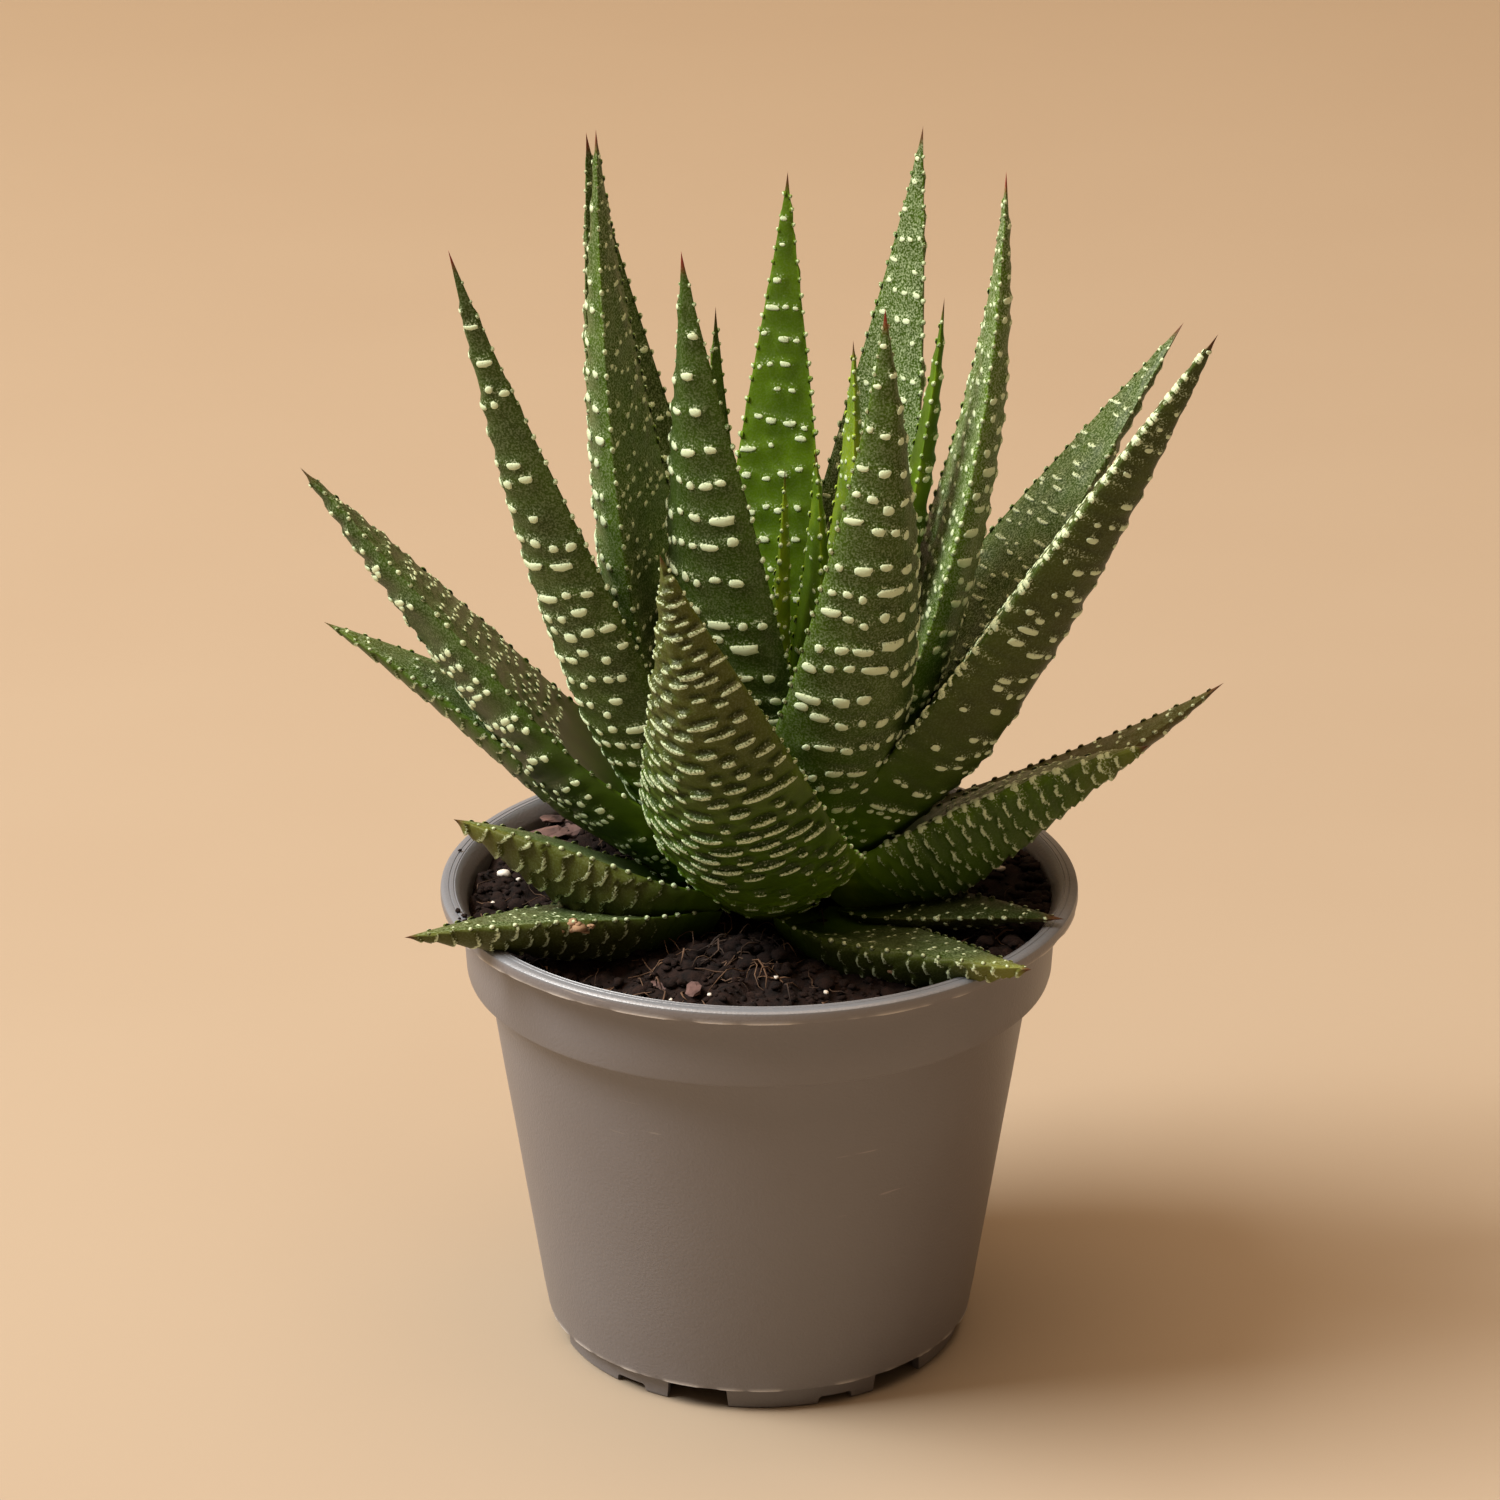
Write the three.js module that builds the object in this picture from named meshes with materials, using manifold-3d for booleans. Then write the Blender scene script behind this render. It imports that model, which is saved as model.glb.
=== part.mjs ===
// A potted gasworthia: a rosette of thick, pointed, warty leaves in potting soil, in a plain round
// nursery pot. Millimetres and degrees. The origin is the middle of the pot's foot, on the surface it
// stands on, and +Z is up. Azimuths run counter-clockwise from +X seen from above. The front faces -Y.
import * as THREE from "three";
import { mergeVertices } from "three/addons/utils/BufferGeometryUtils.js";
import Module from "manifold-3d";

const wasm = await Module();
wasm.setup();

// The pot, 12 cm across: a tapered wall, a stacking band, a flanged lip and a foot ring.
const POT_HEIGHT = 92;
const POT_RADIUS = 60;
const LIP_WIDTH = 3;
const LIP_DEPTH = 2.8;
const BAND_TOP_RADIUS = 56.2;
const BAND_RADIUS = 55.3;
const BAND_HEIGHT = 16.8;
const WALL_TOP_RADIUS = 51.5;
const WALL_FOOT_RADIUS = 41;
const WALL_THICK = 1.3;
const FOOT_HEIGHT = 4.7;
const FOOT_RADIUS = 39;
const FOOT_THICK = 1.8;
const FLOOR_THICK = 1.4;
const POT_SIDES = 40;
const DRAIN_HOLES = 6;
const DRAIN_RADIUS = 3.5;
const DRAIN_CIRCLE = 27;
// Wide notches cut the foot ring right through, and a shallow one follows each of them.
const NOTCHES = 6;
const NOTCH_TURN = 252.5;
const NOTCH_WIDTH = 11.4;
const NOTCH_HEIGHT = 3.9;
const SHALLOW_TURN = 291.5;
const SHALLOW_WIDTH = 6.4;
const SHALLOW_HEIGHT = 1.6;

// The soil, and the short stout stem that carries the leaves.
const SOIL_LEVEL = 87.6;
const SOIL_MOUND = 2.4;
const SOIL_FOOT = 78;
const SOIL_RINGS = 8;
const SOIL_SIDES = 32;
const STEM_RADIUS = 9;
const STEM_TOP_RADIUS = 1.2;
const STEM_FOOT = 66;
const STEM_SHOULDER = 89;
const STEM_TOP = 104;
const STEM_SIDES = 12;
const GAP = 0.35;

// Leaves spring from the stem one after another, each older one a little further out and lower.
const YOUNGEST = { from: 3, height: 104 };
const OLDEST = { from: 18, height: 89.5 };
const BASE_NARROWING = 0.35;
const WIDEST = 0.85;
const CUPPED = 0.42;
const WART = 0.9;
const ROOM = 1.25;
const BAND_PITCH = 10.5;
const OLD_BAND_PITCH = 8.5;

// Angles of the points round a leaf's section, in degrees: 0 and 180 are its margins, 90 the middle of
// the inner face and 270 the keel. The face that shows most has more points, and so more warts.
const OUTER_FACE_SEEN = [0, 90, 180, 210, 240, 270, 300, 330];
const INNER_FACE_SEEN = [0, 40, 90, 140, 180, 225, 270, 315];
const SLIM = [0, 90, 180, 225, 270, 315];
const SLIM_WIDTH = 15;

// One line a leaf, youngest first. az, reach and tip place its point: azimuth, distance from the axis
// and height above the floor. spring is the azimuth where it leaves the stem, when that isn't az. bow is
// how far the middle stands outwards of a straight line, sway how far it stands sideways, and roll turns
// the leaf about its length.
const LEAVES = [
  { az: 22, reach: 5, tip: 173, width: 12, thick: 4, bow: 1, spring: 150 },
  { az: 200, reach: 7, tip: 160, width: 10, thick: 3, bow: 1 },
  { az: 21, reach: 11, tip: 176, width: 16, thick: 5, bow: 2 },
  { az: 128, reach: 13, tip: 201, width: 14, thick: 5, bow: 2 },
  { az: 19, reach: 18, tip: 196, width: 17, thick: 6, bow: 3 },
  { az: 80, reach: 30, tip: 221, width: 22, thick: 7, bow: 3, spring: 95 },
  { az: 10, reach: 34, tip: 204, width: 16, thick: 6, bow: 4 },
  { az: 238, reach: 26, tip: 221, width: 31, thick: 9, bow: 3, spring: 275, sway: 2 },
  { az: 202, reach: 31, tip: 240, width: 30, thick: 11, bow: 3.5, roll: -42 },
  { az: 43, reach: 41, tip: 230, width: 30, thick: 8, bow: 4 },
  { az: 130, reach: 50, tip: 226, width: 30, thick: 9, bow: 5 },
  { az: 10, reach: 45, tip: 227, width: 28, thick: 9, bow: 8 },
  { az: 306, reach: 37, tip: 213, width: 31, thick: 11, bow: 8 },
  { az: 213, reach: 64, tip: 225, width: 27, thick: 10, bow: 2 },
  { az: 340, reach: 85, tip: 208, width: 30, thick: 14, bow: 0, roll: 4 },
  { az: 26, reach: 89, tip: 189, width: 31, thick: 10, bow: -1 },
  { az: 252, reach: 56, tip: 176, width: 40, thick: 14, bow: 8, spring: 276, sway: 5 },
  { az: 175, reach: 84.8, tip: 171, width: 45, thick: 11, bow: -1, spring: 184, roll: 11 },
  { az: 100, reach: 60, tip: 158, width: 30, thick: 10, bow: 5 },
  { az: 170, reach: 83, tip: 138, width: 28.5, thick: 9, bow: -4 },
  { az: 4, reach: 87, tip: 129, width: 24, thick: 8, bow: 3, spring: 12 },
  { az: 348, reach: 73, tip: 125, width: 27, thick: 15, bow: -3.5, roll: -10 },
  { az: 60, reach: 68, tip: 128, width: 26, thick: 9, bow: 4 },
  { az: 130, reach: 70, tip: 108, width: 26, thick: 9, bow: 2 },
  { az: 201, reach: 60, tip: 113, width: 29, thick: 12, bow: -2, spring: 228, roll: 14 },
  { az: 95, reach: 60, tip: 104, width: 24, thick: 8, bow: 3 },
  { az: 211, reach: 75, tip: 97, width: 22, thick: 9.5, bow: -2, spring: 232, roll: 12 },
  { az: 314, reach: 70, tip: 96, width: 25, thick: 9.5, bow: 0, spring: 296, roll: -12 },
  { az: 337, reach: 61, tip: 94, width: 17, thick: 5, bow: -1 },
  { az: 50, reach: 60, tip: 97, width: 20, thick: 6, bow: 0 },
];

const RAD = Math.PI / 180;

// Solids for joining and cutting, made from closed meshes and turned back into them.
function solidOf(geometry) {
  const bare = geometry.index ? geometry.toNonIndexed() : geometry;
  const shape = new THREE.BufferGeometry().setAttribute("position", bare.getAttribute("position"));
  const merged = mergeVertices(shape, 1e-4);
  return new wasm.Manifold(
    new wasm.Mesh({
      numProp: 3,
      vertProperties: new Float32Array(merged.attributes.position.array),
      triVerts: new Uint32Array(merged.index.array),
    }),
  );
}

function geometryOf(solid) {
  const mesh = solid.getMesh();
  const geometry = new THREE.BufferGeometry();
  geometry.setAttribute("position", new THREE.BufferAttribute(new Float32Array(mesh.vertProperties), 3));
  geometry.setIndex(new THREE.BufferAttribute(new Uint32Array(mesh.triVerts), 1));
  geometry.computeVertexNormals();
  return geometry;
}

// The largest piece of a cut solid, once its points are rounded and merged as they are in the finished mesh.
function largestPiece(solid) {
  const largest = (whole) => whole.decompose().reduce((a, b) => (b.volume() > a.volume() ? b : a));
  return largest(solidOf(geometryOf(largest(solid))));
}

// A solid of revolution about the vertical axis, from [radius, height] points that start and end on the axis.
function turned(profile, sides) {
  const points = profile.map(([r, z]) => new THREE.Vector2(r, z));
  return solidOf(new THREE.LatheGeometry(points, sides).rotateX(Math.PI / 2));
}

// Half-width along a leaf, 0 at the base and 1 at the tip, as a share of its greatest half-width.
function widthAt(s) {
  const fromTip = 1 - s;
  if (fromTip > WIDEST) return 1 - BASE_NARROWING * ((fromTip - WIDEST) / (1 - WIDEST));
  return Math.sin((Math.PI / 2) * (fromTip / WIDEST) ** 1.1);
}

function thicknessAt(s) {
  const tapered = Math.sin((Math.PI / 2) * Math.min(1, (1 - s) / 0.8));
  return tapered * (1 - 0.45 * Math.max(0, 1 - s / 0.3));
}

// How far along the row of ages a leaf stands, 0 for the youngest and 1 for the oldest.
function ageOf(leaf) {
  return LEAVES.indexOf(leaf) / (LEAVES.length - 1);
}

// The middle line of a leaf, and the directions across it and out of its inner face.
function leafCourse(leaf) {
  const age = ageOf(leaf);
  const from = THREE.MathUtils.lerp(YOUNGEST.from, OLDEST.from, age);
  const height = THREE.MathUtils.lerp(YOUNGEST.height, OLDEST.height, age);
  const spring = (leaf.spring ?? leaf.az) * RAD;
  const base = new THREE.Vector3(from * Math.cos(spring), from * Math.sin(spring), height);
  const azimuth = leaf.az * RAD;
  const tip = new THREE.Vector3(leaf.reach * Math.cos(azimuth), leaf.reach * Math.sin(azimuth), leaf.tip);
  const chord = tip.clone().sub(base).normalize();
  const across = new THREE.Vector3(-chord.y, chord.x, 0).normalize();
  const inwards = chord.clone().cross(across);
  const knee = base.clone().lerp(tip, 0.5);
  knee.addScaledVector(inwards, -2 * leaf.bow);
  knee.addScaledVector(across, 2 * (leaf.sway ?? 0));
  const curve = new THREE.QuadraticBezierCurve3(base, knee, tip);
  const at = (s) => {
    const along = curve.getTangent(s);
    const side = across.clone().addScaledVector(along, -across.dot(along)).normalize();
    const face = along.clone().cross(side);
    const roll = (leaf.roll ?? 0) * RAD;
    side.applyAxisAngle(along, roll);
    face.applyAxisAngle(along, roll);
    return { middle: curve.getPoint(s), side, face };
  };
  return { at, from, length: curve.getLength() };
}

// A leaf as rows of closed sections. Every other row has alternate points raised as warts, offset from
// band to band. With room, the leaf is grown by that much all over instead, to cut a space that holds it.
function leafGeometry(leaf, room) {
  const { at, from, length } = leafCourse(leaf);
  const seen = leaf.az > 0 && leaf.az < 180 ? INNER_FACE_SEEN : OUTER_FACE_SEEN;
  const angles = leaf.width < SLIM_WIDTH ? SLIM : seen;
  const columns = angles.length;
  const bands = Math.round(length / (ageOf(leaf) > 0.75 ? OLD_BAND_PITCH : BAND_PITCH));
  const rows = 2 * bands;
  const raised = (i, j) => i % 2 === 1 && i > 2 && i < rows - 1 && (j + (i - 1) / 2) % 2 === 0;
  const points = [];
  for (let i = 0; i < rows; i++) {
    const s = i / rows;
    const { middle, side, face } = at(s);
    const half = (leaf.width / 2) * widthAt(s);
    const deep = leaf.thick * thicknessAt(s);
    const hollow = leaf.width * (0.12 * s - 0.06) * widthAt(s);
    const cup = Math.max(0, 1 - s / CUPPED) ** 2 / (2 * (from + 9));
    const tall = Math.min(WART, 0.1 * half + 0.2);
    angles.forEach((angle, j) => {
      const cos = Math.cos(angle * RAD);
      const outer = angle > 180;
      const rim = Math.max(0, 1 - Math.abs(cos) ** (outer ? 2 - 0.7 * s : 2));
      const flat = new THREE.Vector2(half * cos, outer ? -deep * rim ** 0.7 : hollow * rim);
      const wart = raised(i, j) ? tall * (outer || angle % 180 === 0 ? 1 : 0.5) : 0;
      const away = new THREE.Vector2(cos, 1.4 * Math.sin(angle * RAD)).normalize();
      flat.addScaledVector(away, room || wart);
      flat.y += cup * flat.x ** 2;
      points.push(middle.clone().addScaledVector(side, flat.x).addScaledVector(face, flat.y));
    });
  }
  const tip = at(1).middle;
  const root = at(0).middle;
  const place = (i, j) => points[i * columns + (j % columns)];
  const corners = [];
  for (let j = 0; j < columns; j++) {
    for (let i = 0; i < rows - 1; i++) {
      const [a, b, c, d] = [place(i, j), place(i, j + 1), place(i + 1, j + 1), place(i + 1, j)];
      const fromA = raised(i, j) || raised(i + 1, j + 1);
      corners.push(...(fromA ? [a, b, c, a, c, d] : [a, b, d, b, c, d]));
    }
    corners.push(place(rows - 1, j), place(rows - 1, j + 1), tip);
    corners.push(root, place(0, j + 1), place(0, j));
  }
  return new THREE.BufferGeometry().setFromPoints(corners);
}

// The pot: one turned wall, with drain holes through its floor and notches under its foot ring.
function potSolid() {
  const bandFoot = POT_HEIGHT - BAND_HEIGHT;
  const lipFoot = POT_HEIGHT - LIP_DEPTH;
  const floorTop = FOOT_HEIGHT + FLOOR_THICK - 0.6;
  const wall = turned(
    [
      [0, FOOT_HEIGHT - 0.6],
      [FOOT_RADIUS - FOOT_THICK, FOOT_HEIGHT - 0.6],
      [FOOT_RADIUS - FOOT_THICK, 0],
      [FOOT_RADIUS, 0],
      [FOOT_RADIUS + 0.3, FOOT_HEIGHT - 0.3],
      [WALL_FOOT_RADIUS, FOOT_HEIGHT],
      [WALL_TOP_RADIUS, bandFoot - 0.6],
      [BAND_RADIUS, bandFoot],
      [BAND_TOP_RADIUS, lipFoot],
      [POT_RADIUS, lipFoot + 0.3],
      [POT_RADIUS, POT_HEIGHT - 0.5],
      [POT_RADIUS - 0.5, POT_HEIGHT],
      [POT_RADIUS - LIP_WIDTH, POT_HEIGHT],
      [BAND_TOP_RADIUS - WALL_THICK, lipFoot + 0.5],
      [BAND_RADIUS - WALL_THICK, bandFoot + 1.4],
      [WALL_TOP_RADIUS - WALL_THICK, bandFoot - 0.6],
      [WALL_FOOT_RADIUS - WALL_THICK, floorTop],
      [0, floorTop],
    ],
    POT_SIDES,
  );
  const cutters = [];
  const cutNotches = (turn, width, height) => {
    for (let i = 0; i < NOTCHES; i++) {
      const block = new THREE.BoxGeometry(10, width, 2 * height);
      block.translate(FOOT_RADIUS, 0, 0).rotateZ((turn + (360 * i) / NOTCHES) * RAD);
      cutters.push(solidOf(block));
    }
  };
  cutNotches(NOTCH_TURN, NOTCH_WIDTH, NOTCH_HEIGHT);
  cutNotches(SHALLOW_TURN, SHALLOW_WIDTH, SHALLOW_HEIGHT);
  for (let i = 0; i < DRAIN_HOLES; i++) {
    const hole = new THREE.CylinderGeometry(DRAIN_RADIUS, DRAIN_RADIUS, 12, 10).rotateX(Math.PI / 2);
    hole.translate(DRAIN_CIRCLE, 0, FOOT_HEIGHT).rotateZ((2 * Math.PI * i) / DRAIN_HOLES);
    cutters.push(solidOf(hole));
  }
  return cutters.reduce((solid, cutter) => solid.subtract(cutter), wall);
}

// Height of the soil's crumbly surface: a low mound in front of the stem, hollows, and lumps of peat.
function soilHeight(x, y) {
  const away = (cx, cy, spread) => Math.exp(-((x - cx) ** 2 + (y - cy) ** 2) / (2 * spread ** 2));
  const lumps = Math.sin(0.55 * x + 1.3) * Math.cos(0.48 * y - 0.4) + 0.6 * Math.sin(0.9 * x - 0.7 * y);
  const mounds = SOIL_MOUND * away(-4, -30, 12) + away(-34, 20, 14);
  return SOIL_LEVEL + mounds - 2.6 * away(-30, -36, 8) + 0.55 * lumps;
}

function soilSolid() {
  const topRadius = BAND_TOP_RADIUS - WALL_THICK - GAP - 0.2;
  const footRadius = BAND_RADIUS - WALL_THICK - GAP - 0.2;
  const corners = [];
  const ring = (i, j) => {
    const r = (topRadius * i) / SOIL_RINGS;
    const angle = (2 * Math.PI * (j % SOIL_SIDES)) / SOIL_SIDES;
    const [x, y] = [r * Math.cos(angle), r * Math.sin(angle)];
    return new THREE.Vector3(x, y, soilHeight(x, y));
  };
  const foot = (j) => ring(SOIL_RINGS, j).setZ(0).setLength(footRadius).setZ(SOIL_FOOT);
  const centre = new THREE.Vector3(0, 0, SOIL_FOOT);
  for (let j = 0; j < SOIL_SIDES; j++) {
    corners.push(ring(0, 0), ring(1, j), ring(1, j + 1));
    for (let i = 1; i < SOIL_RINGS; i++) {
      const [a, b, c, d] = [ring(i, j), ring(i + 1, j), ring(i + 1, j + 1), ring(i, j + 1)];
      corners.push(a, b, c, a, c, d);
    }
    const [a, b, c, d] = [ring(SOIL_RINGS, j), foot(j), foot(j + 1), ring(SOIL_RINGS, j + 1)];
    corners.push(a, b, c, a, c, d);
    corners.push(centre, foot(j + 1), foot(j));
  }
  return solidOf(new THREE.BufferGeometry().setFromPoints(corners));
}

function stemSolid(grow) {
  return turned(
    [
      [0, STEM_FOOT - grow],
      [STEM_RADIUS * 0.7 + grow, STEM_FOOT - grow],
      [STEM_RADIUS + grow, STEM_SHOULDER],
      [STEM_TOP_RADIUS + grow, STEM_TOP],
      [0, STEM_TOP + grow],
    ],
    STEM_SIDES,
  );
}

// Assembly. Each leaf is cut clear of every younger leaf, the stem and the pot's lip, and the soil of all.
const pot = potSolid();
const lip = turned(
  [
    [0, POT_HEIGHT - 9],
    [POT_RADIUS + GAP, POT_HEIGHT - 9],
    [POT_RADIUS + GAP, POT_HEIGHT + GAP],
    [POT_RADIUS - LIP_WIDTH - GAP, POT_HEIGHT + GAP],
    [BAND_TOP_RADIUS - WALL_THICK - GAP, POT_HEIGHT - LIP_DEPTH],
    [BAND_TOP_RADIUS - WALL_THICK - GAP, POT_HEIGHT - 8],
    [0, POT_HEIGHT - 8],
  ],
  POT_SIDES,
);
const stemRoom = stemSolid(GAP);
const materials = {
  leaf: new THREE.MeshStandardMaterial({ color: 0x44622e, roughness: 0.42, metalness: 0 }),
  stem: new THREE.MeshStandardMaterial({ color: 0x8a8f58, roughness: 0.7, metalness: 0 }),
  soil: new THREE.MeshStandardMaterial({ color: 0x33241a, roughness: 0.95, metalness: 0 }),
  pot: new THREE.MeshStandardMaterial({ color: 0x6f655d, roughness: 0.6, metalness: 0 }),
};
const part = new THREE.Group();

function addPiece(name, solid, material) {
  const mesh = new THREE.Mesh(geometryOf(solid), material.clone());
  mesh.name = name;
  part.add(mesh);
}

let soil = soilSolid().subtract(stemRoom);
const rooms = [];
LEAVES.forEach((leaf, i) => {
  const whole = solidOf(leafGeometry(leaf, 0)).subtract(stemRoom).subtract(lip);
  const trimmed = rooms.reduce((solid, room) => solid.subtract(room), whole);
  const room = solidOf(leafGeometry(leaf, ROOM));
  rooms.push(room);
  soil = soil.subtract(room);
  addPiece(`leaf_${String(i + 1).padStart(2, "0")}`, largestPiece(trimmed), materials.leaf);
});
addPiece("stem", stemSolid(0), materials.stem);
addPiece("soil", largestPiece(soil), materials.soil);
addPiece("pot", pot, materials.pot);

export default part;
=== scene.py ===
import math
import random

import bpy
import numpy as np
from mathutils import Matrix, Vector, noise


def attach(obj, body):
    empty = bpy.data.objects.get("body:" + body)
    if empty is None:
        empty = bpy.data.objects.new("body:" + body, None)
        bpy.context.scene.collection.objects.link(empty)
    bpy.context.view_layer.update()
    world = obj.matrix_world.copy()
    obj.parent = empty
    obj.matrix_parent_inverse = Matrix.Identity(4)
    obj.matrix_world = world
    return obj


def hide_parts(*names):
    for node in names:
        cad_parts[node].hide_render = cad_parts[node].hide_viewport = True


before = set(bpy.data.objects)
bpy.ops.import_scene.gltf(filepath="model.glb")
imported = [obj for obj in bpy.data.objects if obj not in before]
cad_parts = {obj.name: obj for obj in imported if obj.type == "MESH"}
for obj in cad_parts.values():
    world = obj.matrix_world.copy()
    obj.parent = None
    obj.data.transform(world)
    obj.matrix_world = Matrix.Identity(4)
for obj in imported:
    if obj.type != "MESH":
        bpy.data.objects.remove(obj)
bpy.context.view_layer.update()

MM = 0.001


# Photographer's table: warm tan paper laid flat and curved up behind, a big soft lamp high to the left,
# a dim warm one overhead, and the camera a long step back, looking down on the pot's rim.
def srgb(red, green, blue):
    """A colour as a picture shows it, in the light values that materials use."""
    levels = [((c / 255 + 0.055) / 1.055) ** 2.4 if c > 10 else c / 3294.6 for c in (red, green, blue)]
    return (*levels, 1.0)


def switch_to(mode):
    bpy.ops.object.mode_set(mode=mode)


def select_nothing():
    """Leave edit mode with nothing selected, ready for the next piece."""
    if bpy.context.object and bpy.context.object.mode != "OBJECT":
        switch_to("OBJECT")
    bpy.ops.object.select_all(action="DESELECT")


def new_material(name, roughness, base=(0.5, 0.5, 0.5, 1.0), specular=0.5):
    """A new material, and its shader for what goes into it."""
    material = bpy.data.materials.new(name)
    material.use_nodes = True
    shader = material.node_tree.nodes["Principled BSDF"]
    shader.inputs["Roughness"].default_value = roughness
    shader.inputs["Base Color"].default_value = base
    shader.inputs["Specular IOR Level"].default_value = specular
    return material, shader


def feed(socket, value):
    """Link a socket to another node's output, or give it a plain value."""
    if isinstance(value, bpy.types.NodeSocket):
        socket.id_data.links.new(value, socket)
    else:
        socket.default_value = value


def object_place(material):
    """Where a point lies on its object."""
    nodes = material.node_tree.nodes
    coordinates = nodes.get("Texture Coordinate") or nodes.new("ShaderNodeTexCoord")
    return coordinates.outputs["Object"]


def noise_texture(material, scale, detail=2.0, roughness=0.5, vector=None):
    """Cloudy noise between 0 and 1, fixed to the object unless a vector is given."""
    texture = material.node_tree.nodes.new("ShaderNodeTexNoise")
    texture.inputs["Scale"].default_value = scale
    texture.inputs["Detail"].default_value = detail
    texture.inputs["Roughness"].default_value = roughness
    feed(texture.inputs["Vector"], object_place(material) if vector is None else vector)
    return texture.outputs["Fac"]


def remap(value, low, high, to_low=0.0, to_high=1.0):
    """A value whose range from low to high is stretched to another range."""
    node = value.id_data.nodes.new("ShaderNodeMapRange")
    for name, number in (("From Min", low), ("From Max", high), ("To Min", to_low), ("To Max", to_high)):
        node.inputs[name].default_value = number
    feed(node.inputs["Value"], value)
    return node.outputs["Result"]


def colour_ramp(value, *stops):
    """Colours along a value; each stop is a place and the colour there."""
    node = value.id_data.nodes.new("ShaderNodeValToRGB")
    elements = node.color_ramp.elements
    for element, stop in ((elements[0], stops[0]), (elements[1], stops[-1])):
        element.position, element.color = stop
    for place, colour in stops[1:-1]:
        elements.new(place).color = colour
    feed(node.inputs["Fac"], value)
    return node.outputs["Color"]


def mix(amount, first, second):
    """Two colours mixed by an amount."""
    node = amount.id_data.nodes.new("ShaderNodeMix")
    node.data_type = "RGBA"
    feed(node.inputs[0], amount)
    feed(node.inputs[6], first)
    feed(node.inputs[7], second)
    return node.outputs[2]


LOOK_AT = Vector((-1.74, 0.0, 117.9)) * MM
CAMERA_BACK = 0.9325
CAMERA_DOWN = math.radians(22.15)
select_nothing()
bpy.ops.object.camera_add(
    location=LOOK_AT + CAMERA_BACK * Vector((0, -math.cos(CAMERA_DOWN), math.sin(CAMERA_DOWN))),
    rotation=(math.radians(90) - CAMERA_DOWN, 0, 0),
)
camera = bpy.context.object
camera.name = "camera"
camera.data.sensor_width = 36
camera.data.lens = 120
camera.data.clip_end = 50
bpy.context.scene.camera = camera
bpy.context.scene.view_settings.view_transform = "Standard"


def pick_edges(piece, wanted):
    """Select the edges that have both ends where they are wanted."""
    for edge in piece.data.edges:
        edge.select = all(wanted(piece.data.vertices[v].co) for v in edge.vertices)


PAPER_SIZE = 7.0
PAPER_HEIGHT = 4.0
PAPER_CURVE = 1.6
select_nothing()
bpy.ops.mesh.primitive_plane_add(size=PAPER_SIZE, location=(0, -0.7, 0))
paper = bpy.context.object
paper.name = "paper"
switch_to("EDIT")
bpy.ops.mesh.select_mode(type="EDGE")
bpy.ops.mesh.select_all(action="DESELECT")
switch_to("OBJECT")
pick_edges(paper, lambda place: place.y > 3)
switch_to("EDIT")
bpy.ops.mesh.extrude_region_move(TRANSFORM_OT_translate={"value": (0, 0, PAPER_HEIGHT)})
switch_to("OBJECT")
pick_edges(paper, lambda place: place.y > 3 and place.z < 1)
switch_to("EDIT")
bpy.ops.mesh.bevel(offset=PAPER_CURVE, segments=24)
switch_to("OBJECT")
bpy.ops.object.shade_smooth()
paper_material, shader = new_material("tan_paper", 0.85)
distance = paper_material.node_tree.nodes.new("ShaderNodeSeparateXYZ")
feed(distance.inputs["Vector"], object_place(paper_material))
# The paper's colour is painted lighter at the front and darker towards the back: painted light and shade for
# the uneven fall of the lamps.
tan = colour_ramp(
    remap(distance.outputs["Y"], -0.4, 2.0),
    (0.0, srgb(208, 198, 182)),
    (0.33, srgb(162, 148, 129)),
    (1.0, srgb(152, 131, 104)),
)
clouds = remap(noise_texture(paper_material, 9), 0.35, 0.7, 0.0, 0.1)
feed(shader.inputs["Base Color"], mix(clouds, tan, srgb(146, 124, 100)))
paper.data.materials.append(paper_material)


def lamp(name, azimuth, elevation, away, size, power, colour):
    """A square soft lamp that faces the plant."""
    a, e = math.radians(azimuth), math.radians(elevation)
    place = Vector((math.cos(a) * math.cos(e), math.sin(a) * math.cos(e), math.sin(e))) * away
    select_nothing()
    bpy.ops.object.light_add(type="AREA", location=place + Vector((0, 0, 0.1)))
    light = bpy.context.object
    light.name = name
    light.rotation_euler = place.to_track_quat("Z", "Y").to_euler()
    light.data.shape = "SQUARE"
    light.data.size = size
    light.data.energy = power
    light.data.color = colour


lamp("key_lamp", 186, 50, away=3.4, size=1.7, power=206, colour=(1.0, 0.985, 0.95))
lamp("overhead_lamp", 180, 88, away=2.6, size=3.0, power=76, colour=(1.0, 0.7, 0.46))
world = bpy.data.worlds.new("room")
bpy.context.scene.world = world
world.use_nodes = True
world.node_tree.nodes["Background"].inputs["Color"].default_value = (1.0, 0.68, 0.44, 1.0)
world.node_tree.nodes["Background"].inputs["Strength"].default_value = 0.14


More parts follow.
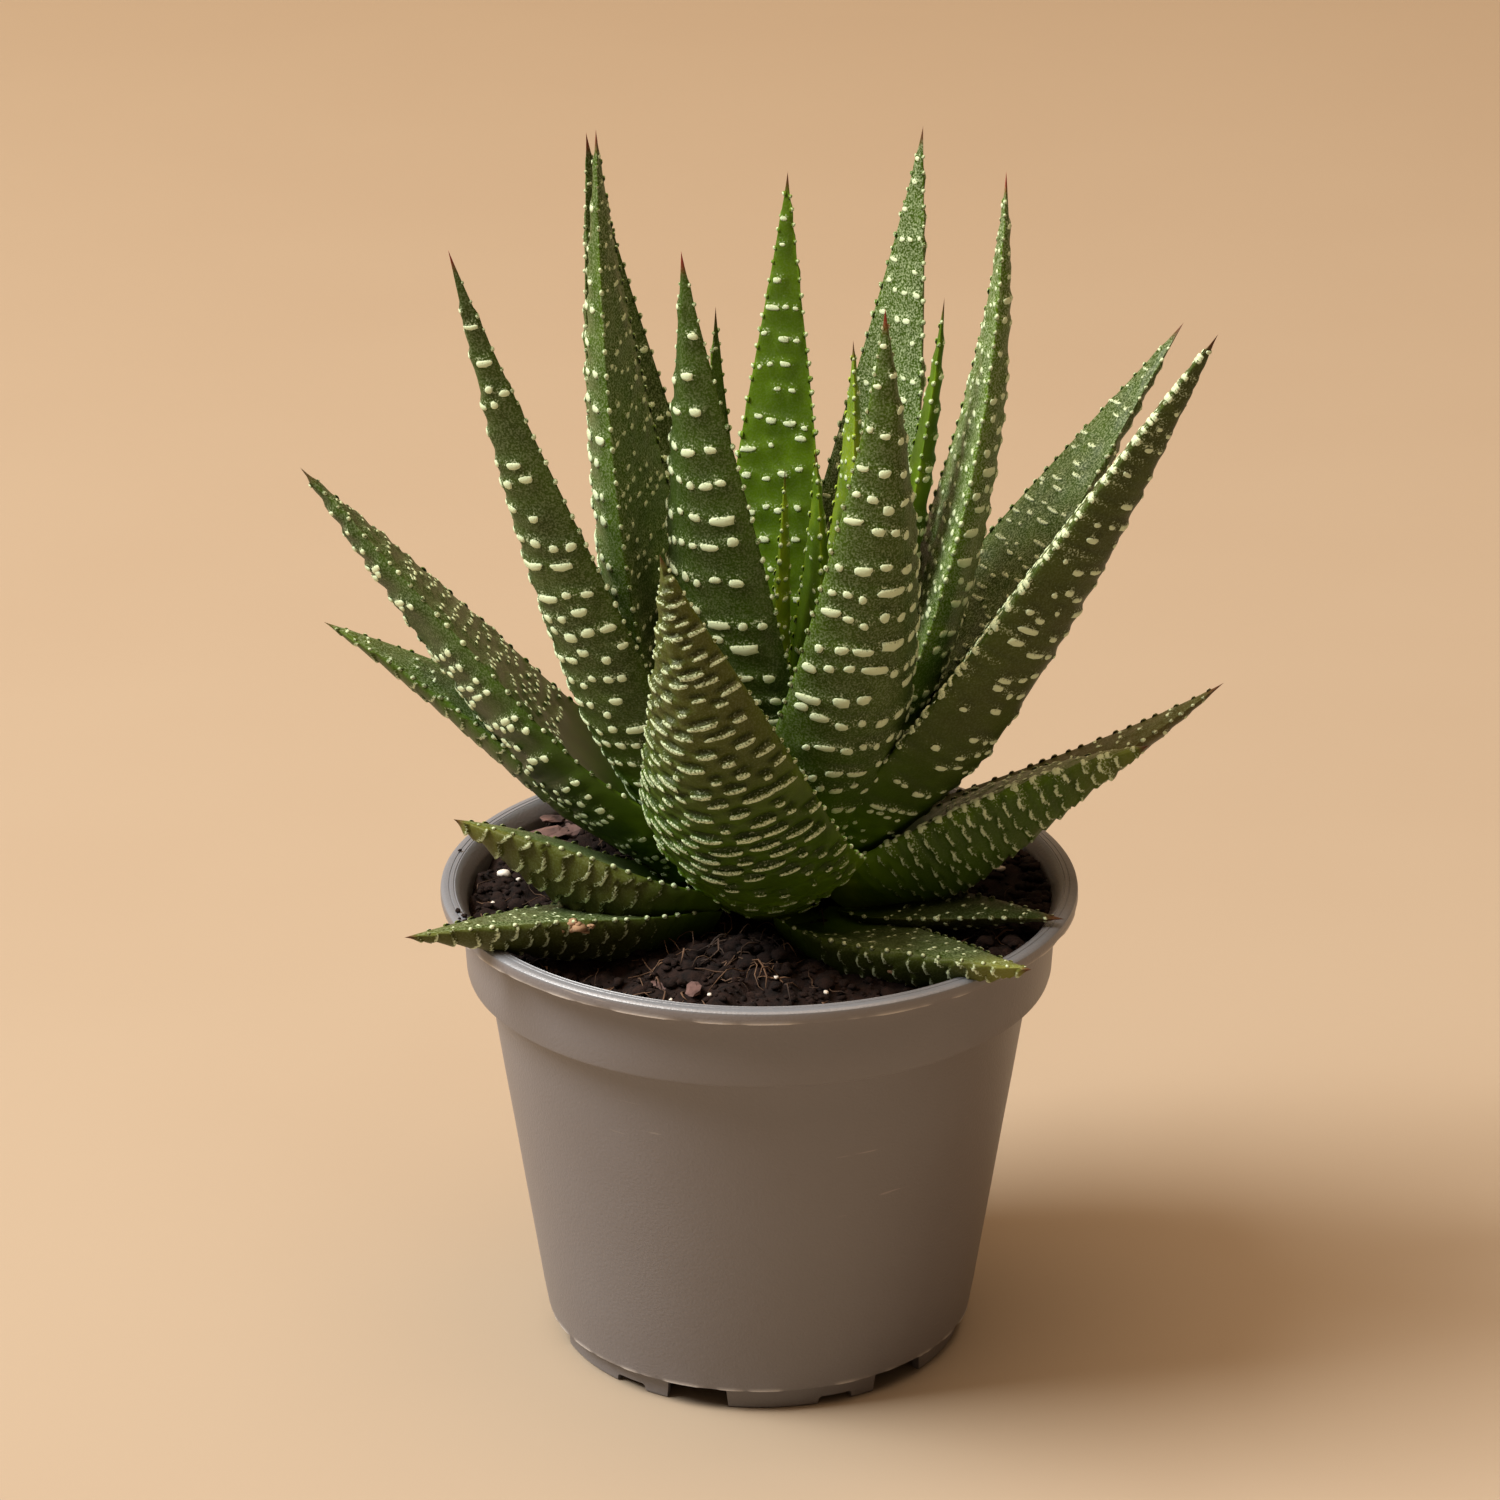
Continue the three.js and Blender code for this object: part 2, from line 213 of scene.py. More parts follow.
# Nursery pot, 12 cm across: one injection moulding of grey-brown polypropylene with a flanged lip, a
# stacking band, a plain tapered wall and a foot ring. The foot ring is notched so that water runs out.
# The outline gives radius and height, up the outside, over the lip, down the inside and under the floor.
POT_OUTLINE = [
    (37.4, 3.2), (37.2, 0.35), (37.5, 0.0), (38.7, 0.0), (39.0, 0.35), (39.25, 4.3), (39.5, 4.55),
    (40.7, 4.6), (40.95, 4.75), (41.05, 5.1), (41.12, 5.5), (41.9, 10.0), (43.6, 21.4), (45.2, 32.0),
    (46.9, 43.6), (48.5, 54.0), (50.1, 65.0), (51.3, 73.2), (51.75, 74.3), (53.0, 74.55), (54.7, 74.75),
    (55.15, 75.05), (55.35, 75.8), (55.6, 80.0), (55.95, 85.5), (56.15, 88.6), (56.4, 89.1), (57.6, 89.3),
    (59.3, 89.4), (59.75, 89.55), (59.95, 89.95), (60.0, 90.4), (60.0, 91.1), (59.9, 91.6),
    (59.6, 91.88), (59.1, 92.0), (58.5, 92.0), (58.4, 91.88), (58.25, 91.88), (58.15, 92.0),
    (57.6, 92.0), (57.5, 91.86), (57.35, 91.86), (57.25, 91.95), (56.9, 91.7), (56.3, 91.0),
    (55.2, 89.6), (54.9, 88.9), (54.6, 85.0), (54.2, 78.5), (54.0, 77.0), (53.6, 76.3), (50.6, 75.6),
    (50.1, 74.4), (48.6, 65.0), (45.3, 43.6), (41.6, 18.0), (39.9, 6.6), (39.3, 5.7), (38.5, 5.5),
    (0.0, 5.5), (0.0, 4.1), (36.6, 4.1), (37.2, 3.8), (37.4, 3.2),
]
POT_STEPS = 216
select_nothing()
bpy.ops.mesh.primitive_plane_add(size=0.001, location=(0, 0, 0))
pot = bpy.context.object
pot.name = "nursery_pot"
switch_to("EDIT")
bpy.ops.mesh.select_mode(type="VERT")
bpy.ops.mesh.select_all(action="SELECT")
bpy.ops.mesh.merge(type="CENTER")
bpy.ops.transform.translate(value=(POT_OUTLINE[0][0] * MM, 0, POT_OUTLINE[0][1] * MM))
for (r0, z0), (r1, z1) in zip(POT_OUTLINE, POT_OUTLINE[1:]):
    bpy.ops.mesh.extrude_region_move(TRANSFORM_OT_translate={"value": ((r1 - r0) * MM, 0, (z1 - z0) * MM)})
bpy.ops.mesh.select_all(action="SELECT")
bpy.ops.mesh.remove_doubles(threshold=1e-6)
bpy.ops.mesh.select_all(action="SELECT")
bpy.ops.mesh.spin(steps=POT_STEPS, angle=2 * math.pi, center=(0, 0, 0), axis=(0, 0, 1))
bpy.ops.mesh.select_all(action="SELECT")
bpy.ops.mesh.remove_doubles(threshold=2e-6)
bpy.ops.mesh.normals_make_consistent(inside=False)
switch_to("OBJECT")


def select_only(piece):
    select_nothing()
    bpy.context.view_layer.objects.active = piece
    piece.select_set(True)


def cut_away(piece, cutter):
    """Cut one piece with another and throw the cutter away."""
    select_only(piece)
    cut = piece.modifiers.new("cut", "BOOLEAN")
    cut.operation = "DIFFERENCE"
    cut.solver = "EXACT"
    cut.object = cutter
    bpy.ops.object.modifier_apply(modifier="cut")
    bpy.data.objects.remove(cutter)


def turned(x, y, angle):
    """A place, or arrays of places, turned about the middle."""
    c, s = math.cos(angle), math.sin(angle)
    return x * c - y * s, x * s + y * c


FOOT_RADIUS = 39 * MM
NOTCH_DEPTH = 10 * MM


def foot_notch(turn, width, height, flare):
    """A block with a flared mouth that cuts one notch up into the foot ring."""
    select_nothing()
    bpy.ops.mesh.primitive_cube_add(size=1, location=(0, 0, 0))
    block = bpy.context.object
    for vertex in block.data.vertices:
        wide = width if vertex.co.z > 0 else width + flare
        vertex.co.x *= NOTCH_DEPTH
        vertex.co.y *= wide * MM
        vertex.co.z *= 2 * height * MM
    switch_to("EDIT")
    bpy.ops.mesh.select_all(action="SELECT")
    bpy.ops.mesh.bevel(offset=0.5 * MM, segments=3)
    switch_to("OBJECT")
    for vertex in block.data.vertices:
        vertex.co.xy = turned(vertex.co.x + FOOT_RADIUS, vertex.co.y, math.radians(turn))
    return block


def polar(radius, angle):
    return radius * math.cos(angle), radius * math.sin(angle)


DRAIN_RING = 27 * MM
DRAIN_RADIUS = 3.5 * MM
for i in range(6):
    cut_away(pot, foot_notch(252.5 + 60 * i, width=11.4, height=3.9, flare=1.6))
    cut_away(pot, foot_notch(291.5 + 60 * i, width=6.4, height=1.6, flare=1.2))
for i in range(6):
    select_nothing()
    bpy.ops.mesh.primitive_cylinder_add(
        vertices=32,
        radius=DRAIN_RADIUS,
        depth=8 * MM,
        location=(*polar(DRAIN_RING, math.radians(60 * i)), 5 * MM),
    )
    cut_away(pot, bpy.context.object)


def spread(mesh, name, values):
    """Write one number a vertex into a named attribute that the material reads."""
    attribute = mesh.attributes.new(name, "FLOAT", "POINT")
    attribute.data.foreach_set("value", np.asarray(values, dtype=np.float32))


def points_of(mesh):
    flat = np.empty(len(mesh.vertices) * 3, dtype=np.float32)
    mesh.vertices.foreach_get("co", flat)
    return flat.reshape(-1, 3).astype(np.float64)


def place_points(mesh, points):
    mesh.vertices.foreach_set("co", np.asarray(points, dtype=np.float32).ravel())
    mesh.update()


# Thin flash that the mould left along the lip's lower edge and round the foot, on some stretches only.
points = points_of(pot.data)
radius = np.hypot(points[:, 0], points[:, 1])
turn = np.arctan2(points[:, 1], points[:, 0])
ragged = np.array([noise.fractal(Vector((9 * math.cos(t), 9 * math.sin(t), 0.3)), 1.0, 2.0, 4) for t in turn])


def near_ring(ring_radius, ring_height, wide, tall):
    """1 on a ring round the pot, and next to nothing a millimetre away from it."""
    aside, above = radius - ring_radius * MM, points[:, 2] - ring_height * MM
    return np.exp(-(aside / (wide * MM)) ** 2 - (above / (tall * MM)) ** 2)


lip_edge = near_ring(59.7, 89.55, wide=0.45, tall=0.35)
foot_edge = near_ring(40.9, 4.8, wide=0.5, tall=0.3)
lip_flash = np.clip(2.6 * ragged + 0.55, 0, 1) * lip_edge
foot_flash = np.clip(3.0 * ragged + 0.3, 0, 1) * foot_edge
out = 0.28 * MM * lip_flash + 0.2 * MM * foot_flash
points[:, 0] += out * np.cos(turn)
points[:, 1] += out * np.sin(turn)
place_points(pot.data, points)
spread(pot.data, "flash", np.clip(lip_flash + 0.8 * foot_flash, 0, 1))
# The flat top of the lip gets a paler bluish tone: a painted sheen, standing in for the reflection of the
# light above.
spread(pot.data, "painted_lip_sheen", np.where((radius > 56.8 * MM) & (points[:, 2] > 91.2 * MM), 1.0, 0.0))


def stored(material, name):
    """The numbers that spread wrote into the mesh under a name."""
    node = material.node_tree.nodes.new("ShaderNodeAttribute")
    node.attribute_name = name
    return node.outputs["Fac"]


def calculate(operation, first, second):
    node = first.id_data.nodes.new("ShaderNodeMath")
    node.operation = operation
    feed(node.inputs[0], first)
    feed(node.inputs[1], second)
    return node.outputs["Value"]


def bump(height, strength, distance):
    """Small relief in the shading, to feed a shader's Normal."""
    node = height.id_data.nodes.new("ShaderNodeBump")
    node.inputs["Strength"].default_value = strength
    node.inputs["Distance"].default_value = distance
    feed(node.inputs["Height"], height)
    return node.outputs["Normal"]


pot_material, shader = new_material("grey_polypropylene", 0.5, specular=1.0)
cloud = noise_texture(pot_material, 38, detail=5)
plastic = colour_ramp(cloud, (0.3, srgb(106, 102, 104)), (0.75, srgb(110, 107, 110)))
# Painted sheen on the lip's top.
plastic = mix(stored(pot_material, "painted_lip_sheen"), plastic, srgb(112, 116, 123))
plastic = mix(stored(pot_material, "flash"), plastic, srgb(196, 190, 184))
# Fine scratches from handling: long thin marks where a stretched noise peaks.
stretch = pot_material.node_tree.nodes.new("ShaderNodeMapping")
stretch.inputs["Scale"].default_value = (60, 60, 900)
stretch.inputs["Rotation"].default_value = (0.25, 0.1, 0)
feed(stretch.inputs["Vector"], object_place(pot_material))
scratch = remap(noise_texture(pot_material, 1.0, vector=stretch.outputs["Vector"]), 0.74, 0.78)
plastic = mix(calculate("MULTIPLY", scratch, 0.35), plastic, srgb(176, 168, 160))
feed(shader.inputs["Base Color"], plastic)
feed(shader.inputs["Normal"], bump(noise_texture(pot_material, 1700), 0.6, 0.12 * MM))
feed(shader.inputs["Roughness"], remap(cloud, 0.0, 1.0, 0.36, 0.48))
pot.data.materials.append(pot_material)
select_only(pot)
bpy.ops.object.shade_smooth_by_angle(angle=math.radians(32))
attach(pot, "root")
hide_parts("pot")


# Potting soil: dark peat pressed into the pot, with a low mound in front of the stem, a hollow at the
# front left, and a broken crumbly surface.
SOIL_RADIUS = 54.6
SOIL_LEVEL = 87.6
SOIL_UNDERSIDE = 79.2


def soil_height(x, y):
    """Height of the soil at a place, in millimetres, before its finest crumbs."""
    def hump(cx, cy, wide):
        return math.exp(-((x - cx) ** 2 + (y - cy) ** 2) / (2 * wide * wide))
    lumps = math.sin(0.55 * x + 1.3) * math.cos(0.48 * y - 0.4) + 0.6 * math.sin(0.9 * x - 0.7 * y)
    mounds = 2.4 * hump(-4, -30, 12) + hump(-34, 20, 14) - 2.6 * hump(-30, -36, 8)
    clods = 1.5 * noise.fractal(Vector((x * 0.17, y * 0.17, 4.0)), 0.9, 2.1, 5)
    return SOIL_LEVEL + mounds + 0.55 * lumps + clods


def mottled(name, roughness, scale, dark, light, detail=2.0, coarse=0.5, relief=None, specular=0.5):
    """A material between two colours, each with its place on the noise that mixes them and lifts it."""
    material, shader = new_material(name, roughness, specular=specular)
    mottle = noise_texture(material, scale, detail, coarse)
    feed(shader.inputs["Base Color"], colour_ramp(mottle, dark, light))
    if relief:
        feed(shader.inputs["Normal"], bump(mottle, *relief))
    return material


select_nothing()
bpy.ops.mesh.primitive_uv_sphere_add(segments=240, ring_count=128, radius=1)
soil = bpy.context.object
soil.name = "peat"
points = points_of(soil.data)
down = np.arccos(np.clip(points[:, 2], -1, 1)) / math.pi
turn = np.arctan2(points[:, 1], points[:, 0])
reach = np.where(down < 0.5, down / 0.5, np.clip((1 - down) / 0.42, 0, 1))
x, y = SOIL_RADIUS * reach * np.cos(turn), SOIL_RADIUS * reach * np.sin(turn)
top = np.array([soil_height(a, b) for a, b in zip(x, y)])
edge_dip = np.clip((reach - 0.93) / 0.07, 0, 1) ** 2
sink = np.clip((down - 0.5) / 0.08, 0, 1)
z = np.where(down <= 0.5, top - 0.8 * edge_dip, top - 0.8 - (top - SOIL_UNDERSIDE) * sink)
shrink = np.where(down > 0.5, 1 - 0.016 * sink, 1.0)
place_points(soil.data, np.stack([x * shrink, y * shrink, z], 1) * MM)
bpy.ops.object.shade_smooth()
soil_material = mottled("peat", 0.9, 420, (0.36, srgb(6, 2, 1)), (0.72, srgb(48, 30, 23)), detail=8,
                        coarse=0.75, relief=(0.9, 0.8 * MM), specular=0.25)
soil.data.materials.append(soil_material)
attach(soil, "root")
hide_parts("soil")


def mesh_arrays(mesh):
    """The points of a small mesh and its faces as lists, for copying it many times over."""
    return points_of(mesh), [tuple(face.vertices) for face in mesh.polygons]


def join_copies(name, copies, material, smooth=True):
    """One piece from many copies of small meshes, each given as its own points and faces."""
    points, faces, start = [], [], 0
    for part_points, part_faces in copies:
        points.append(part_points)
        faces.extend(tuple(v + start for v in face) for face in part_faces)
        start += len(part_points)
    mesh = bpy.data.meshes.new(name)
    mesh.from_pydata(np.concatenate(points).tolist(), [], faces)
    mesh.polygons.foreach_set("use_smooth", [smooth] * len(mesh.polygons))
    mesh.materials.append(material)
    piece = bpy.data.objects.new(name, mesh)
    bpy.context.collection.objects.link(piece)
    return piece


# Loose crumbs of peat on top of the soil, thickest on the mound and at the right rim, and a few on the
# pot's lip. Each is an irregular grain, the smallest half a millimetre across and the largest about five.
dice = random.Random(41)


def round_lump(subdivisions):
    """Points and faces of a ball that crumbs are made from."""
    select_nothing()
    bpy.ops.mesh.primitive_ico_sphere_add(subdivisions=subdivisions, radius=1)
    arrays = mesh_arrays(bpy.context.object.data)
    bpy.data.objects.remove(bpy.context.object)
    return arrays


GRAIN = round_lump(1)
CLOD = round_lump(2)


def crumb(x, y, z, size, fine=True):
    """One irregular crumb, in metres, from a place and a size in millimetres."""
    base, faces = GRAIN if fine else CLOD
    shift = Vector((dice.uniform(0, 90), dice.uniform(0, 90), dice.uniform(0, 90)))
    rough = np.array([1 + 0.55 * noise.noise(Vector(p) * 1.3 + shift) for p in base])
    stretch = np.array([dice.uniform(0.7, 1.3), dice.uniform(0.7, 1.3), dice.uniform(0.6, 1.0) * 0.75])
    shaped = base * rough[:, None] * stretch * size
    across, along = turned(shaped[:, 0], shaped[:, 1], dice.uniform(0, 2 * math.pi))
    return (np.stack([across, along, shaped[:, 2]], 1) + np.array([x, y, z])) * MM, faces


def anywhere(radius):
    """A random place inside a circle."""
    return polar(radius * math.sqrt(dice.random()), dice.uniform(0, 2 * math.pi))


FINE_GRAINS = 2300
CLODS = 330
MOUND_CLODS = 60
RIM_CLODS = 170
crumbs = []
for i in range(FINE_GRAINS):
    x, y = anywhere(53.6)
    size = 0.35 + 0.75 * dice.random() ** 2
    crumbs.append(crumb(x, y, soil_height(x, y) + 0.25 * size, size))
for i in range(CLODS):
    x, y = anywhere(51.5)
    size = 0.9 + 1.1 * dice.random() ** 2
    crumbs.append(crumb(x, y, soil_height(x, y) + 0.2 * size, size, fine=False))
for i in range(MOUND_CLODS):
    x, y = -4 + dice.gauss(0, 5), -32 + dice.gauss(0, 4)
    crumbs.append(crumb(x, y, soil_height(x, y) + 0.6, 0.8 + dice.random(), fine=False))
for i in range(RIM_CLODS):
    angle = math.radians(dice.uniform(-35, 75))
    x, y = polar(54.0 - 5 * dice.random() ** 2, angle)
    size = 0.7 + 1.1 * dice.random()
    crumbs.append(crumb(x, y, soil_height(x, y) + 0.5 + 1.0 * dice.random(), size, fine=False))
LIP_HEIGHT = 92.3
LIP_CRUMBS = [
    (196, 58.2), (198.5, 57.6), (199.5, 58.8), (201, 58.0), (203, 58.9), (168, 58.3), (214, 57.9),
]
for angle, radius in LIP_CRUMBS:
    crumbs.append(crumb(*polar(radius, math.radians(angle)), LIP_HEIGHT, 0.35 + 0.4 * dice.random()))
loose = join_copies("peat_crumbs", crumbs, soil_material)
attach(loose, "root")

# Fibres of peat and fine dead roots: thin bent threads that lie over the soil, thickest on the mound.
fibre_material = mottled("root_fibre", 0.85, 120, (0.35, srgb(40, 26, 18)), (0.7, srgb(116, 86, 62)))


def fibre(path, thick):
    """A three-sided thread along a list of points, tapering to both ends, in metres."""
    path = np.array(path)
    along = np.gradient(path, axis=0)
    along /= np.linalg.norm(along, axis=1)[:, None] + 1e-9
    side = np.cross(along, [0.3, 0.2, 1.0])
    side /= np.linalg.norm(side, axis=1)[:, None] + 1e-9
    up = np.cross(side, along)
    count = len(path)
    taper = 0.35 + 0.65 * np.sin(math.pi * (np.arange(count) + 0.5) / count)
    rings = []
    for k in range(3):
        a = 2 * math.pi * k / 3
        rings.append(path + (thick * taper)[:, None] * (math.cos(a) * side + math.sin(a) * up))
    points = np.stack(rings, 1).reshape(-1, 3)
    faces = []
    for i in range(count - 1):
        for k in range(3):
            a, b = i * 3 + k, i * 3 + (k + 1) % 3
            faces.append((a, b, b + 3, a + 3))
    last = 3 * (count - 1)
    faces.append((2, 1, 0))
    faces.append((last, last + 1, last + 2))
    return points * MM, faces


FIBRES = 220
MOUND_FIBRES = 60
FIBRE_REACH = 53.3
fibres = []
for i in range(FIBRES):
    if i < MOUND_FIBRES:
        x, y = -5 + dice.gauss(0, 9), -33 + dice.gauss(0, 7)
    else:
        x, y = anywhere(52)
    heading, lift, path = dice.uniform(0, 2 * math.pi), dice.uniform(0.2, 1.0), []
    step = dice.uniform(0.8, 2.2)
    rise = dice.uniform(0, 2.6) if dice.random() < 0.4 else 0
    for k in range(6):
        path.append((x, y, soil_height(x, y) + lift + rise * math.sin(math.pi * k / 5)))
        heading += dice.gauss(0, 0.45)
        x, y = x + step * math.cos(heading), y + step * math.sin(heading)
        if math.hypot(x, y) > FIBRE_REACH:
            x, y = FIBRE_REACH * x / math.hypot(x, y), FIBRE_REACH * y / math.hypot(x, y)
    fibres.append(fibre(path, dice.uniform(0.1, 0.24)))
threads = join_copies("root_fibres", fibres, fibre_material)
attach(threads, "root")

# Dried pale crumbs of old soil that stuck to two of the lowest leaves, nearly all of them to the left one.
dried_material, _ = new_material("dried_crumbs", 0.9, srgb(150, 120, 92))
stuck = []
for i in range(15):
    x, y, z = -34.4 + dice.gauss(0, 1.9), -33.2 + dice.gauss(0, 0.35), 96.6 + dice.gauss(0, 0.5)
    stuck.append(crumb(x, y, z, 0.5 + 0.7 * dice.random()))
stuck.append(crumb(24.1, -39.2, 90.6, 1.1))
dried = join_copies("dried_crumbs", stuck, dried_material)
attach(dried, "root")

# Perlite: small white puffed grains among the peat, each with its place and its size. A pair of them lies
# near the lip at the left.
PERLITE = [
    (-48.5, 8.5, 1.3), (-47.0, 12.5, 1.0), (-45.5, 3.5, 0.6), (-38.0, -12.0, 0.6), (12, -44, 0.5),
    (-9, -45, 0.45), (31, 31, 0.9), (46, 12, 0.8), (22, 44, 1.1), (-20, 44, 0.8), (-2, 47, 0.7),
    (41, -22, 0.5), (-28, 36, 0.7), (36, 24, 0.5), (-50, -6, 0.4), (3, -41, 0.4), (-16, -47, 0.4),
]
perlite_material, _ = new_material("perlite", 0.9, srgb(226, 218, 206))
grains = [crumb(x, y, soil_height(x, y) + 0.7 * size + 0.5, size, fine=False) for x, y, size in PERLITE]
perlite = join_copies("perlite", grains, perlite_material)
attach(perlite, "root")

# Chips of dark bark, most of them at the back left, behind the leaves. Each has its place, its
# half-length and its turn in degrees.
CHIPS = [
    (-42, 27, 5.2, 20), (-36, 33, 4.6, 70), (-46, 20, 4.0, 110), (-31, 38, 3.8, 10), (-40, 34, 3.6, 45),
    (-38, 22, 4.4, 140), (38, 26, 3.4, 60), (44, 18, 3.0, 20), (-12, -44, 2.6, 80), (30, 38, 3.6, 100),
    (8, 44, 3.2, 30), (-18, -38, 2.4, 150), (47, -6, 2.8, 95), (-50, -2, 2.0, 30),
]
bark_material = mottled("bark", 0.8, 260, (0.35, srgb(46, 30, 28)), (0.7, srgb(112, 84, 78)), detail=4,
                        relief=(0.7, 0.6 * MM))
clod_points, clod_faces = CLOD
chips = []
for x, y, long, turn in CHIPS:
    body = clod_points * np.array([long, 0.5 * long, 0.17 * long])
    shift = Vector((x, y, 0))
    body *= np.array([1 + 0.6 * noise.noise(Vector(p) * 1.6 + shift) for p in clod_points])[:, None]
    across, along = turned(body[:, 0], body[:, 1], math.radians(turn))
    body = np.stack([across, along, body[:, 2] + 0.25 * body[:, 0] * math.sin(x)], 1)
    chips.append(((body + np.array([x, y, soil_height(x, y) + 0.7])) * MM, clod_faces))
bark = join_copies("bark_chips", chips, bark_material, smooth=False)
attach(bark, "root")


# Stem: a short stout fleshy stem, hidden by the leaf bases all round, ringed by the scars of old leaves.
STEM_FOOT = 66
STEM_HEIGHT = 38
select_nothing()
bpy.ops.mesh.primitive_uv_sphere_add(segments=48, ring_count=48, radius=1)
stem = bpy.context.object
stem.name = "stem"
points = points_of(stem.data)
up = 1 - np.arccos(np.clip(points[:, 2], -1, 1)) / math.pi
turn = np.arctan2(points[:, 1], points[:, 0])
height = STEM_FOOT + STEM_HEIGHT * np.clip((up - 0.06) / 0.9, 0, 1)
ends = np.clip(up / 0.06, 0, 1) * np.clip((1 - up) / 0.04, 0, 1)
girth = np.interp(height, [66, 89, 104], [6.3, 9.0, 1.2]) * ends * (1 + 0.03 * np.sin(height * 2.4 + turn))
place_points(stem.data, np.stack([girth * np.cos(turn), girth * np.sin(turn), height], 1) * MM)
bpy.ops.object.shade_smooth()
stem.data.materials.append(mottled("stem", 0.6, 300, (0.0, srgb(70, 78, 30)), (1.0, srgb(120, 124, 60))))
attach(stem, "root")
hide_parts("stem")


# Leaves: thick, pointed and fleshy, keeled outside and flat or hollow inside, youngest first. Sizes are in
# millimetres, angles in degrees, and places run from 0 at a leaf's root to 1 at its point. az, reach and
# tip place the point, bow, sway and roll bend and turn the leaf, and spring is the way it leaves the stem,
# where that isn't az. A hidden leaf has a coarser mesh, and BEHIND is the skin of three of them. green says
# how light the skin is, olive how brown, fresh how much of that the inner face is spared, frost how thick
# its fine pale specks are, and bare where olive and frost begin. tan and blush are the strength and redness
# of the point, and yellow tints the end of the leaf. pitch is the space between bands of warts on the outer
# face, bar their half-width, skip the share left out, and ridged how far they raise the skin. brick sets
# bars in rows, that far apart. fine and dot are pitch and bar for the inner face, dots how much of it they
# cover, smooth where they begin, and wavy makes them long. studs adds warts beside the margin at pi. scales
# is how high scales stand in place of outer warts, wide their width, and scaled where they are full.
BEHIND = dict(green=0.35, frost=0.5, pitch=6.0, bar=0.7, fine=5.0, dot=0.6, dots=0.6, hidden=1)
